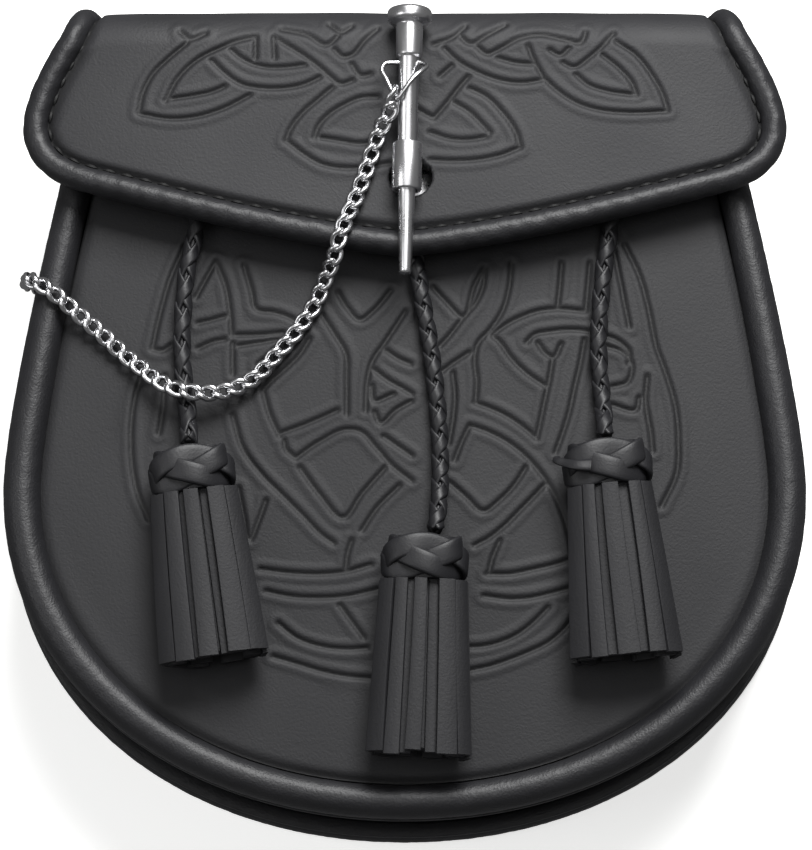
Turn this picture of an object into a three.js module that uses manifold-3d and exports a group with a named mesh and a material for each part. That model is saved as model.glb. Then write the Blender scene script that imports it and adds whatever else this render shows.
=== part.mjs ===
// Leather sporran pouch: a domed front and a flat back held apart by a gusset, a flap folded
// over the top with a padded rolled edge, a pin lock on a chain and three plaited tassels.
// Millimetres. The pouch lies on its back on z = 0, with its front up (+Z) and its flap at +Y.

import * as THREE from 'three';
import { mergeVertices } from 'three/addons/utils/BufferGeometryUtils.js';
import Module from 'manifold-3d';

const wasm = await Module();
wasm.setup();

// ---------------------------------------------------------------- driving dimensions

const gap = 0.3;                     // air left between pieces that touch

const body = {
  halfWidth: 95.2,                   // at the widest level
  widestY: -19.4,
  bottomY: -98.4,
  shoulderX: 83.1,                   // where the straight upper side begins
  shoulderY: 54.7,
  mouthX: 76,                        // upper end of the straight side
  mouthY: 88,
  sideControlY: -2.1,
  roundness: 0.575,                  // a little fuller than an ellipse
};

const piping = { radius: 4.15, backZ: 4.2, frontZ: 37, inset: 4.2 };

const panel = {
  thickness: 2,
  inset: 8.9,                        // from the outer outline, just inside the piping
  frontZ: 37,
  frontDome: 3,
  domeX: 87,
  domeBelow: 90,
  domeAbove: 180,
  backZ: 7.7,
  backDome: 2,
};

const gusset = { thickness: 1.8, insetAtSeams: 3.2, hollow: 4.2 };

// Straps on the back that a belt passes behind.
const beltLoop = {
  x: 36,
  width: 26,
  length: 56,
  topY: 30,
  thickness: 1.5,
  lowZ: 0.4,
  foot: 9,                           // stretch stitched down at each end
  slope: 5,                          // length of the rise from a foot to the bridge
};

const flap = {
  thickness: 3,
  midZ: 48.2,                        // middle of the sheet over the front
  backMidZ: 4.6,
  foldY: 87.2,                       // where the front starts to turn over the top
  frontFoldRadius: 9.5,
  backFoldRadius: 6,
  tailY: 79,                         // lower end of the tail on the back
  tipY: 34.7,
  cornerX: 91.5,
  cornerY: 68.4,
  turnX: 76,                         // where the V edge turns into the corner
  turnY: 51.1,
  topX: 84.2,                        // outer edge where the fold starts
  tipControlX: 28.8,                 // the V edge bends here between its tip and its turn
  tipControlRise: 2.6,
  cornerControlRise: 4.4,
  sideControlX: 90.9,
  sideControlY: 75.6,
  backX: 74,                         // outer edge where the tail starts
  tailX: 64,
  droop: 4,                          // how far the side edges hang below the middle
  droopX: 90,
  droopPower: 4,
  narrowing: 0.7,                    // power with which it narrows over the top
  frontShare: 0.42,                  // part of the sheet's facets that covers the front
};

const roll = {
  radius: 3,
  rise: 0.7,
  clearance: 0.9,
  overlap: 2,                        // how far its ends run on past the back wall's end
};

const slot = { x: 0.9, y: 54.2, width: 11.5, length: 10.5 };

const pin = {
  z: 54.4,
  tipY: 28.9,
  x: 0.1,                            // at the tip
  lean: 0.017,                       // radians, so that the head stands a little to the right
  neckAt: 53.4,                      // from the tip
  length: 66,
  holeBelowNeck: 1.2,
  holeRadius: 1.05,
};

// Turned outline of the pin, from its tip to its head: distance from the tip and radius.
const pinProfile = [
  { at: 0, radius: 1.3 },
  { at: 0.3, radius: 1.45 },
  { at: 20.2, radius: 2.0 },
  { at: 20.7, radius: 2.2 },
  { at: 32.4, radius: 2.2 },
  { at: 32.8, radius: 2.4 },
  { at: 53.4, radius: 2.4 },
  { at: 53.8, radius: 3.1 },
  { at: 61.6, radius: 3.25 },
  { at: 62.1, radius: 4.5 },
  { at: 62.7, radius: 5.35 },
  { at: 65.0, radius: 5.35 },
  { at: 65.7, radius: 4.6 },
];

const keeper = {
  boreRadius: 2.55,
  outerRadius: 3.55,
  startAt: 20.5,                     // from the tip of the pin
  endAt: 32.2,
  stemWidth: 4,
  stemLength: 6,
  plateX: 16,
  plateY: 13,
  plateThickness: 1,
  plateSlopeY: 8,                    // the plate clears the panel this far below its middle
  chamfer: 0.3,
  stemClearance: 0.4,
};

// Bends of the wire ring through the pin: across, up and forward of its cross hole.
const ringBends = [
  { x: -3.4, y: 0, z: 0 },
  { x: 0, y: 0, z: 0 },
  { x: 3.4, y: 0, z: 0 },
  { x: 4.3, y: -0.9, z: 1.0 },
  { x: 3.2, y: -2.7, z: 2.6 },
  { x: 0.9, y: -5.2, z: 3.7 },
  { x: -1.2, y: -8.2, z: 3.7 },
  { x: -2.7, y: -9.9, z: 3.2 },
  { x: -3.6, y: -8.4, z: 2.5 },
  { x: -5.3, y: -4.6, z: 1.4 },
  { x: -6.4, y: -1.7, z: 0.5 },
  { x: -5.6, y: -0.3, z: 0.1 },
];

const ringWire = 0.55;

const chain = {
  wireRadius: 0.5,
  linkLength: 5.56,
  linkWidth: 4.2,
  twist: 0.8,                        // radians at each end of a link
  links: 42,
  runs: 6,
  runSlack: 0.75,
  firstTurn: -1,                     // radians, so that the first link threads the ring
  hangsFromX: 80,
  hangBend: 6,                       // width of the bend where it starts to hang
};

// Route of the chain from the ring, over the flap's edge, the panel, the left tassel's cord
// and the left piping, to the staple on the gusset. The points are places it lies on.
const chainRoute = [
  [-2.3, 73.4, 57.8],
  [-3.4, 69.0, 56.6],
  [-5.4, 65.6, 53.6],
  [-6.9, 62.2, 51.8],
  [-8.0, 58.7, 51.4],
  [-9.3, 54.7, 51.4],
  [-10.6, 51.0, 51.4],
  [-11.9, 47.6, 51.6],
  [-13.3, 44.2, 52.4],
  [-14.7, 40.4, 53.2],
  [-15.9, 37.0, 52.6],
  [-16.8, 33.9, 50.2],
  [-18.0, 31.8, 47.4],
  [-19.5, 29.0, 44.6],
  [-20.9, 25.5, 42.8],
  [-25.4, 18.5, 42.5],
  [-30.4, 12.4, 42.4],
  [-36.3, 6.0, 43.0],
  [-43.7, 2.4, 45.2],
  [-49.4, 2.0, 46.5],
  [-53.4, 2.7, 46.5],
  [-57.8, 5.0, 45.0],
  [-62.1, 8.7, 42.9],
  [-66.1, 12.0, 41.6],
  [-72.1, 17.6, 41.4],
  [-78.5, 23.0, 42.2],
  [-81.9, 26.0, 43.0],
  [-85.3, 28.6, 43.0],
  [-88.7, 30.8, 41.2],
  [-90.5, 31.8, 37.6],
  [-90.3, 32.4, 33.6],
  [-87.8, 32.7, 29.0],
];

// A plain plate on the left gusset with a wire loop that the last link hooks into.
const staple = {
  x: -83.3,
  y: 31.6,
  z: 24,
  plateSize: 7,
  plateThickness: 0.8,
  wire: 0.6,
  loopOut: 3.4,                      // middle of the loop, out from the plate
  loopUp: 3.6,
  loopHalfWidth: 3.2,
  loopHalfHeight: 3.4,
};

const tassel = {
  cordRadius: 2.1,
  thickness: 13,
  knotHeight: 12,
  knotEnd: 0.74,                     // half-width of a knot's ends against its middle
  skirtTopShare: 0.8,                // thickness of a skirt's top against its lower end
  anchorWidth: 7,
  anchorLength: 5,
  anchorHeight: 3.2,
};

// Each row: the knot's middle, how far it leans (radians, anticlockwise), how far its skirt
// dips towards the panel, and the route of its plaited cord down from under the flap.
const tassels = [
  {
    side: 'left', knotX: -50.1, knotY: -17.4, knotZ: 48.2, lean: 0.13, dip: 0.03,
    knotWidth: 20.6, skirtTop: 19.6, skirtBottom: 24.4, skirtLength: 40,
    cord: [
      [-47.6, 55.6, 42.4], [-48.4, 51.0, 42.4], [-49.3, 46.0, 42.4], [-50.2, 41.2, 42.5],
      [-51.1, 37.0, 42.6], [-51.9, 32.8, 42.7], [-52.4, 28.0, 42.8], [-52.7, 23.2, 42.8],
      [-52.9, 18.4, 42.9], [-52.9, 13.6, 42.9], [-52.6, 9.0, 42.9], [-52.2, 4.4, 42.9],
      [-51.7, 0.4, 43.4], [-51.2, -3.8, 45.0], [-50.9, -7.4, 46.9], [-50.8, -10.3, 48.0],
    ],
  },
  {
    side: 'centre', knotX: 4.7, knotY: -38.6, knotZ: 48.0, lean: -0.03, dip: 0.05,
    knotWidth: 20.8, skirtTop: 19.6, skirtBottom: 23.4, skirtLength: 41,
    cord: [
      [1.9, 42.4, 43.3], [2.3, 38.6, 43.3], [2.8, 34.6, 43.4], [3.4, 30.2, 43.6],
      [4.2, 25.2, 43.7], [5.1, 20.0, 43.7], [5.9, 14.9, 43.7], [6.6, 9.8, 43.8],
      [7.2, 4.8, 43.8], [7.7, -0.4, 43.8], [8.1, -5.6, 43.8], [8.3, -10.8, 43.8],
      [8.4, -15.6, 43.9], [8.3, -20.2, 44.5], [8.0, -24.6, 45.6], [7.6, -28.4, 46.8],
      [7.2, -31.4, 47.6],
    ],
  },
  {
    side: 'right', knotX: 47.6, knotY: -15.9, knotZ: 48.2, lean: 0.09, dip: 0.03,
    knotWidth: 21.4, skirtTop: 19.0, skirtBottom: 25.0, skirtLength: 41,
    cord: [
      [50.0, 55.6, 42.4], [49.6, 51.0, 42.4], [49.2, 46.0, 42.4], [48.6, 41.0, 42.5],
      [47.9, 36.6, 42.6], [47.3, 32.0, 42.7], [46.8, 27.2, 42.9], [46.4, 22.4, 42.9],
      [46.1, 17.6, 43.0], [46.0, 13.0, 43.0], [46.2, 8.6, 43.0], [46.5, 4.2, 43.1],
      [46.8, 0.8, 43.8], [47.0, -2.8, 45.2], [47.1, -6.0, 46.9], [47.2, -8.8, 47.9],
    ],
  },
];

// How finely the faceted surfaces are divided.
const facets = {
  panelAcross: 8,
  panelAlong: 18,
  pipingPoints: 30,
  pipingSteps: 40,
  gussetAround: 36,
  gussetUp: 4,
  flapAcross: 18,
  flapAlong: 19,
  rollOver: 9,
  rollSide: 4,
  rollEdge: 14,
  rollSteps: 64,
  thickSides: 8,                     // around a piping, the roll or a cord
  cordSteps: 9,
  turnedSides: 14,                   // around the pin and its keeper
  slotSides: 16,
  crossHoleSides: 10,
  wireSides: 5,                      // around a ring's or a link's wire
  ringAround: 28,
  linkAround: 8,
  stapleAround: 16,
  stapleSides: 6,
  tasselAround: 18,
  knotUp: 6,
  skirtUp: 3,
};

// ---------------------------------------------------------------- materials

const leather = new THREE.MeshStandardMaterial({ color: 0x26262a, roughness: 0.55 });
const edgeLeather = new THREE.MeshStandardMaterial({ color: 0x2c2c30, roughness: 0.42 });
const plaitLeather = new THREE.MeshStandardMaterial({ color: 0x232326, roughness: 0.5 });
const nickel = new THREE.MeshStandardMaterial({ color: 0xd6d6d8, roughness: 0.2, metalness: 1 });

// ---------------------------------------------------------------- helpers

const root = new THREE.Group();

function addPiece(name, geometry, material, parent = root) {
  const mesh = new THREE.Mesh(geometry, material);
  mesh.name = name;
  parent.add(mesh);
  return mesh;
}

function signedVolume(geometry) {
  const position = geometry.attributes.position;
  const corners = geometry.index.array;
  const a = new THREE.Vector3();
  const b = new THREE.Vector3();
  const c = new THREE.Vector3();
  let sum = 0;
  for (let i = 0; i < corners.length; i += 3) {
    a.fromBufferAttribute(position, corners[i]);
    b.fromBufferAttribute(position, corners[i + 1]);
    c.fromBufferAttribute(position, corners[i + 2]);
    sum += a.dot(b.cross(c));
  }
  return sum / 6;
}

// Merges the shared vertices, drops triangles that have shrunk to a line, and faces it outwards.
function closeUp(geometry) {
  const bare = new THREE.BufferGeometry();
  bare.setAttribute('position', geometry.attributes.position.clone());
  if (geometry.index) bare.setIndex(geometry.index.clone());
  const merged = mergeVertices(bare, 1e-3);
  const kept = [];
  const corners = merged.index.array;
  for (let i = 0; i < corners.length; i += 3) {
    const [p, q, r] = [corners[i], corners[i + 1], corners[i + 2]];
    if (p !== q && q !== r && r !== p) kept.push(p, q, r);
  }
  merged.setIndex(kept);
  if (signedVolume(merged) < 0) {
    for (let i = 0; i < kept.length; i += 3) [kept[i + 1], kept[i + 2]] = [kept[i + 2], kept[i + 1]];
    merged.setIndex(kept);
  }
  return merged;
}

// Moves every vertex of a closed geometry to place(x, y, z).
function reshape(geometry, place) {
  const position = geometry.attributes.position;
  for (let i = 0; i < position.count; i += 1) {
    const to = place(position.getX(i), position.getY(i), position.getZ(i));
    position.setXYZ(i, to.x, to.y, to.z);
  }
  return closeUp(geometry);
}

// A wall worked out from a unit box: u and v run along the sheet, w from 0 to 1 through it.
function sheet(uSteps, vSteps, place) {
  const box = new THREE.BoxGeometry(1, 1, 1, uSteps, vSteps, 1);
  return reshape(box, (x, y, z) => place(x + 0.5, y + 0.5, z + 0.5));
}

function toSolid(geometry) {
  const closed = closeUp(geometry);
  return new wasm.Manifold(new wasm.Mesh({
    numProp: 3,
    vertProperties: new Float32Array(closed.attributes.position.array),
    triVerts: new Uint32Array(closed.index.array),
  }));
}

function toGeometry(solid) {
  const mesh = solid.getMesh();
  const geometry = new THREE.BufferGeometry();
  geometry.setAttribute('position', new THREE.BufferAttribute(mesh.vertProperties, 3));
  geometry.setIndex(new THREE.BufferAttribute(mesh.triVerts, 1));
  return geometry;
}

function roundSection(radius, sides) {
  const corners = [];
  for (let i = 0; i < sides; i += 1) {
    const angle = (2 * Math.PI * i) / sides;
    corners.push(new THREE.Vector2(radius * Math.cos(angle), radius * Math.sin(angle)));
  }
  return new THREE.Shape(corners);
}

// An open tube with capped ends along a curve through the points.
function tube(points, radius, sides, steps) {
  const path = new THREE.CatmullRomCurve3(points, false, 'centripetal');
  return new THREE.ExtrudeGeometry(roundSection(radius, sides), { steps, extrudePath: path });
}

// A closed ring of round wire: a torus whose middle line is moved onto the closed curve.
// up is square to the ring's general plane.
function wireLoop(middle, radius, around, sides, up) {
  const plainRadius = 10;
  const step = 0.01;
  const torus = new THREE.TorusGeometry(plainRadius, 1, sides, around);
  return reshape(torus, (x, y, z) => {
    const turn = Math.atan2(y, x);
    const out = Math.hypot(x, y) - plainRadius;
    const centre = middle(turn);
    const along = middle(turn + step).sub(middle(turn - step)).normalize();
    const side = up.clone().addScaledVector(along, -up.dot(along)).normalize();
    const outward = along.clone().cross(side);
    return centre.addScaledVector(outward, out * radius).addScaledVector(side, z * radius);
  });
}

// ---------------------------------------------------------------- outline of the body

// The right-hand side, from the mouth down to the middle of the bottom.
const rightSide = new THREE.Path();
rightSide.moveTo(body.mouthX, body.mouthY);
rightSide.lineTo(body.shoulderX, body.shoulderY);
rightSide.quadraticCurveTo(body.halfWidth, body.sideControlY, body.halfWidth, body.widestY);
rightSide.bezierCurveTo(
  body.halfWidth,
  body.widestY + (body.bottomY - body.widestY) * body.roundness,
  body.halfWidth * body.roundness,
  body.bottomY,
  0,
  body.bottomY,
);

// A point of the whole U, t from 0 at the right-hand mouth to 1 at the left, moved inwards.
function outlineAt(t, inset) {
  const mirrored = t > 0.5;
  const along = mirrored ? 2 - 2 * t : 2 * t;
  const point = rightSide.getPointAt(along);
  const tangent = rightSide.getTangentAt(along);
  point.x += tangent.y * inset;
  point.y -= tangent.x * inset;
  if (along === 1) point.x = 0;
  if (mirrored) point.x = -point.x;
  return point;
}

// How far a panel stands above its edges: a shallow dome that is longer towards the mouth.
function domeAt(x, y) {
  const reach = y < 0 ? panel.domeBelow : panel.domeAbove;
  return Math.max(0, 1 - (x / panel.domeX) ** 2 - (y / reach) ** 2);
}

function frontTopZ(x, y) {
  return panel.frontZ + panel.thickness / 2 + panel.frontDome * domeAt(x, y);
}

// ---------------------------------------------------------------- leather body

function panelGeometry(edgeZ, dome) {
  return sheet(facets.panelAcross, facets.panelAlong, (u, v, w) => {
    const edge = outlineAt(v / 2, panel.inset);
    const x = (2 * u - 1) * edge.x;
    const z = edgeZ + dome * domeAt(x, edge.y) + (w - 0.5) * panel.thickness;
    return new THREE.Vector3(x, edge.y, z);
  });
}

addPiece('front_panel', panelGeometry(panel.frontZ, panel.frontDome), leather);
addPiece('back_panel', panelGeometry(panel.backZ, panel.backDome), leather);

function pipingGeometry(z) {
  const points = [];
  for (let i = 0; i <= facets.pipingPoints; i += 1) {
    const at = outlineAt(i / facets.pipingPoints, piping.inset);
    points.push(new THREE.Vector3(at.x, at.y, z));
  }
  return tube(points, piping.radius, facets.thickSides, facets.pipingSteps);
}

addPiece('front_piping', pipingGeometry(piping.frontZ), edgeLeather);
addPiece('back_piping', pipingGeometry(piping.backZ), edgeLeather);

// The gusset runs round the U between the two pipings and sinks inwards half-way.
const gussetLow = piping.backZ + piping.radius + gap;
const gussetHigh = piping.frontZ - piping.radius - gap;
addPiece('gusset', sheet(facets.gussetAround, facets.gussetUp, (u, v, w) => {
  const inset = gusset.insetAtSeams + gusset.hollow * Math.sin(Math.PI * v) + w * gusset.thickness;
  const at = outlineAt(u, inset);
  return new THREE.Vector3(at.x, at.y, gussetLow + v * (gussetHigh - gussetLow));
}), leather);

// A strap stands off the back panel between its two stitched feet.
function beltLoopGeometry(x) {
  const outline = new THREE.Shape();
  const upper = beltLoop.topY;
  const lower = beltLoop.topY - beltLoop.length;
  const outerX = Math.abs(x) + beltLoop.width / 2;
  const seatZ = (y) => panel.backZ - panel.thickness / 2 - gap + panel.backDome * domeAt(outerX, y);
  const bridgeLow = beltLoop.lowZ;
  const bridgeHigh = beltLoop.lowZ + beltLoop.thickness;
  outline.moveTo(upper, seatZ(upper));
  outline.lineTo(upper, seatZ(upper) - beltLoop.thickness);
  outline.lineTo(upper - beltLoop.foot, seatZ(upper) - beltLoop.thickness);
  outline.lineTo(upper - beltLoop.foot - beltLoop.slope, bridgeLow);
  outline.lineTo(lower + beltLoop.foot + beltLoop.slope, bridgeLow);
  outline.lineTo(lower + beltLoop.foot, seatZ(lower) - beltLoop.thickness);
  outline.lineTo(lower, seatZ(lower) - beltLoop.thickness);
  outline.lineTo(lower, seatZ(lower));
  outline.lineTo(lower + beltLoop.foot, seatZ(lower));
  outline.lineTo(lower + beltLoop.foot + beltLoop.slope, bridgeHigh);
  outline.lineTo(upper - beltLoop.foot - beltLoop.slope, bridgeHigh);
  outline.lineTo(upper - beltLoop.foot, seatZ(upper));
  const block = new THREE.ExtrudeGeometry(outline, { depth: beltLoop.width, bevelEnabled: false });
  return reshape(block, (a, b, c) => new THREE.Vector3(x + c - beltLoop.width / 2, a, b));
}

addPiece('belt_loop_left', beltLoopGeometry(-beltLoop.x), leather);
addPiece('belt_loop_right', beltLoopGeometry(beltLoop.x), leather);

// ---------------------------------------------------------------- flap

// Right half of the flap's outer edge: along the V, round the corner, up the side to the fold.
const flapEdge = new THREE.Path();
flapEdge.moveTo(0, flap.tipY);
flapEdge.quadraticCurveTo(flap.tipControlX, flap.tipY + flap.tipControlRise, flap.turnX, flap.turnY);
flapEdge.quadraticCurveTo(
  flap.cornerX,
  flap.turnY + flap.cornerControlRise,
  flap.cornerX,
  flap.cornerY,
);
const flapSide = new THREE.QuadraticBezierCurve(
  new THREE.Vector2(flap.cornerX, flap.cornerY),
  new THREE.Vector2(flap.sideControlX, flap.sideControlY),
  new THREE.Vector2(flap.topX, flap.foldY),
);

// The way over the top as a length from the fold's start, and where it turns on to the back.
const frontFoldLength = (Math.PI / 2) * flap.frontFoldRadius;
const wallY = flap.foldY + flap.frontFoldRadius;
const wallTopZ = flap.midZ - flap.frontFoldRadius;
const wallLowZ = flap.backMidZ + flap.backFoldRadius;
const wallLength = wallTopZ - wallLowZ;
const backFoldLength = (Math.PI / 2) * flap.backFoldRadius;
const tailLength = wallY - flap.backFoldRadius - flap.tailY;
const backStart = frontFoldLength + wallLength + backFoldLength;
const overLength = backStart + tailLength;

// Middle of the sheet and its outward direction, a length past the fold's start (below 0 on the front).
function foldAt(length) {
  if (length <= 0) return { y: flap.foldY + length, z: flap.midZ, outY: 0, outZ: 1 };
  if (length < frontFoldLength) {
    const turn = length / flap.frontFoldRadius;
    return {
      y: flap.foldY + flap.frontFoldRadius * Math.sin(turn),
      z: wallTopZ + flap.frontFoldRadius * Math.cos(turn),
      outY: Math.sin(turn),
      outZ: Math.cos(turn),
    };
  }
  if (length < frontFoldLength + wallLength) {
    return { y: wallY, z: wallTopZ - (length - frontFoldLength), outY: 1, outZ: 0 };
  }
  if (length < backStart) {
    const turn = (length - frontFoldLength - wallLength) / flap.backFoldRadius;
    return {
      y: wallY - flap.backFoldRadius * (1 - Math.cos(turn)),
      z: wallLowZ - flap.backFoldRadius * Math.sin(turn),
      outY: Math.cos(turn),
      outZ: -Math.sin(turn),
    };
  }
  return { y: wallY - flap.backFoldRadius - (length - backStart), z: flap.backMidZ, outY: 0, outZ: -1 };
}

// A place on the flap: x across, a length past the fold, and a height off the sheet's middle.
function flapPoint(x, length, off) {
  const at = foldAt(length);
  const droop = flap.droop * Math.abs(x / flap.droopX) ** flap.droopPower;
  const z = at.z * (1 - droop / flap.midZ) + off * at.outZ;
  return new THREE.Vector3(x, at.y + off * at.outY, z);
}

// Half-width of the outer edge past the fold: narrowing over the top, then down the tail.
function overHalfWidth(length) {
  const wallEnd = frontFoldLength + wallLength;
  if (length < wallEnd) {
    return THREE.MathUtils.lerp(flap.topX, flap.backX, (length / wallEnd) ** flap.narrowing);
  }
  return THREE.MathUtils.lerp(flap.backX, flap.tailX, (length - wallEnd) / (overLength - wallEnd));
}

const sheetInset = 2 * roll.radius + roll.clearance;
const flapSheet = sheet(facets.flapAcross, facets.flapAlong, (u, v, w) => {
  const side = Math.sign(u - 0.5);
  const q = Math.abs(2 * u - 1);
  const off = (w - 0.5) * flap.thickness;
  if (v > flap.frontShare) {
    const length = ((v - flap.frontShare) / (1 - flap.frontShare)) * overLength;
    return flapPoint(side * q * (overHalfWidth(length) - sheetInset), length, off);
  }
  const rise = v / flap.frontShare;
  const low = flapEdge.getPointAt(q);
  const tangent = flapEdge.getTangentAt(q);
  low.x = q === 0 ? 0 : low.x - tangent.y * sheetInset;
  low.y += tangent.x * sheetInset;
  const high = new THREE.Vector2(q * (flap.topX - sheetInset), flap.foldY);
  const bulge = flapSide.getPoint(rise).x
    - THREE.MathUtils.lerp(flap.cornerX, flap.topX, rise);
  const x = THREE.MathUtils.lerp(low.x, high.x, rise) + q * bulge;
  const y = THREE.MathUtils.lerp(low.y, high.y, rise);
  return flapPoint(side * x, y - flap.foldY, off);
});

// The stem of the lock comes up through an oval hole in the flap.
const slotCutter = reshape(
  new THREE.CylinderGeometry(1, 1, 6 * flap.thickness, facets.slotSides),
  (x, y, z) => new THREE.Vector3(
    slot.x + (x * slot.width) / 2,
    slot.y + (z * slot.length) / 2,
    flap.midZ + y,
  ),
);
addPiece('flap', toGeometry(toSolid(flapSheet).subtract(toSolid(slotCutter))), leather);

// The padded edge: from the back fold over the top, down one side, along the V and back up.
const halfRoll = [];
for (let i = 0; i < facets.rollOver; i += 1) {
  const length = (frontFoldLength + wallLength + roll.overlap) * (1 - i / facets.rollOver);
  halfRoll.push(flapPoint(overHalfWidth(length) - roll.radius, length, 0));
}
for (let i = 0; i < facets.rollSide; i += 1) {
  const rise = 1 - i / facets.rollSide;
  const at = flapSide.getPoint(rise);
  halfRoll.push(flapPoint(at.x - roll.radius, at.y - flap.foldY, roll.rise * (1 - rise)));
}
for (let i = 0; i <= facets.rollEdge; i += 1) {
  const q = 1 - i / facets.rollEdge;
  const at = flapEdge.getPointAt(q);
  const tangent = flapEdge.getTangentAt(q);
  const x = q === 0 ? 0 : at.x - tangent.y * roll.radius;
  halfRoll.push(flapPoint(x, at.y + tangent.x * roll.radius - flap.foldY, roll.rise));
}
const otherHalf = halfRoll.slice(0, -1).reverse().map((p) => new THREE.Vector3(-p.x, p.y, p.z));
const wholeRoll = [...halfRoll, ...otherHalf];
addPiece('flap_piping', tube(wholeRoll, roll.radius, facets.thickSides, facets.rollSteps), edgeLeather);

// ---------------------------------------------------------------- pin lock

// The lock is drawn along +Y from the pin's tip, then leaned and put in place.
const lock = new THREE.Group();
lock.position.set(pin.x, pin.tipY, pin.z);
lock.rotation.z = -pin.lean;
root.add(lock);

const pinOutline = [
  new THREE.Vector2(0, 0),
  ...pinProfile.map((row) => new THREE.Vector2(row.radius, row.at)),
  new THREE.Vector2(0, pin.length),
];
const holeY = pin.neckAt - pin.holeBelowNeck;
const crossHole = reshape(
  new THREE.CylinderGeometry(pin.holeRadius, pin.holeRadius, 12 * pin.holeRadius, facets.crossHoleSides),
  (x, y, z) => new THREE.Vector3(y, holeY + x, z),
);
const turnedPin = new THREE.LatheGeometry(pinOutline, facets.turnedSides);
const pinSolid = toSolid(turnedPin).subtract(toSolid(crossHole));
addPiece('lock_pin', toGeometry(pinSolid), nickel, lock);

const barrel = new THREE.LatheGeometry([
  new THREE.Vector2(keeper.boreRadius, keeper.startAt),
  new THREE.Vector2(keeper.outerRadius - keeper.chamfer, keeper.startAt),
  new THREE.Vector2(keeper.outerRadius, keeper.startAt + keeper.chamfer),
  new THREE.Vector2(keeper.outerRadius, keeper.endAt - keeper.chamfer),
  new THREE.Vector2(keeper.outerRadius - keeper.chamfer, keeper.endAt),
  new THREE.Vector2(keeper.boreRadius, keeper.endAt),
  new THREE.Vector2(keeper.boreRadius, keeper.startAt),
], facets.turnedSides);
const keeperMiddle = (keeper.startAt + keeper.endAt) / 2;
const panelZ = frontTopZ(0, pin.tipY + keeperMiddle - keeper.plateSlopeY);
const plateTopZ = panelZ + gap + keeper.plateThickness - pin.z;
const stemTopZ = -(keeper.boreRadius + keeper.stemClearance);
const stemHeight = stemTopZ - plateTopZ + keeper.plateThickness / 2;
const stem = new THREE.BoxGeometry(keeper.stemWidth, keeper.stemLength, stemHeight);
stem.translate(0, keeperMiddle, stemTopZ - stemHeight / 2);
const plate = new THREE.BoxGeometry(keeper.plateX, keeper.plateY, keeper.plateThickness);
plate.translate(0, keeperMiddle, plateTopZ - keeper.plateThickness / 2);
const keeperSolid = toSolid(barrel).add(toSolid(stem)).add(toSolid(plate));
addPiece('lock_keeper', toGeometry(keeperSolid), nickel, lock);

// Bent wire triangle through the pin's hole. Its right limb passes in front of the pin.
const ringPoints = ringBends.map((at) => new THREE.Vector3(at.x, holeY + at.y, at.z));
const ringLine = new THREE.CatmullRomCurve3(ringPoints, true, 'centripetal');
addPiece('pin_ring', wireLoop(
  (turn) => ringLine.getPoint((((turn / (2 * Math.PI)) % 1) + 1) % 1),
  ringWire,
  facets.ringAround,
  facets.wireSides,
  new THREE.Vector3(0, 0, 1),
), nickel, lock);

// ---------------------------------------------------------------- chain

const toPoint = ([x, y, z]) => new THREE.Vector3(x, y, z);
const chainLine = new THREE.CatmullRomCurve3(chainRoute.map(toPoint), false, 'centripetal');

// One link lies flat at its middle and twists the same way towards both ends.
function linkGeometry(centre, along, up, length) {
  const side = up.clone().cross(along).normalize();
  const halfLength = length / 2 - chain.wireRadius;
  const halfWidth = chain.linkWidth / 2 - chain.wireRadius;
  return wireLoop((turn) => {
    const reach = Math.cos(turn);
    const twist = chain.twist * reach;
    const across = halfWidth * Math.sin(turn);
    return centre.clone()
      .addScaledVector(along, halfLength * reach)
      .addScaledVector(side, across * Math.cos(twist))
      .addScaledVector(up, across * Math.sin(twist));
  }, chain.wireRadius, facets.linkAround, facets.wireSides, up);
}

const linksPerRun = chain.links / chain.runs;
for (let run = 0; run < chain.runs; run += 1) {
  const first = run * linksPerRun;
  const loops = [];
  for (let i = first; i < first + linksPerRun; i += 1) {
    // The first link of a run is longer, so that it hangs clear of the run before it.
    const slack = i === first ? chain.runSlack : 0;
    const at = (i + 0.5) / chain.links;
    const centre = chainLine.getPointAt(at);
    const along = chainLine.getTangentAt(at);
    // The links face up on the pouch, and outwards where they hang over its left side.
    const hang = Math.min(0, (centre.x + chain.hangsFromX) / chain.hangBend);
    const up = new THREE.Vector3(hang, 0, 1);
    up.addScaledVector(along, -up.dot(along)).normalize();
    if (i === 0) up.applyAxisAngle(along, chain.firstTurn);
    centre.addScaledVector(along, -slack / 2);
    loops.push(toSolid(linkGeometry(centre, along, up, chain.linkLength + slack)));
  }
  // Where two links press together, the pocket of air between their facets is filled.
  const bodies = wasm.Manifold.union(loops).decompose();
  const joined = bodies.reduce((most, part) => (part.volume() > most.volume() ? part : most));
  addPiece(`chain_run_${run + 1}`, toGeometry(joined), nickel);
}

// ---------------------------------------------------------------- tassels

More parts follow.
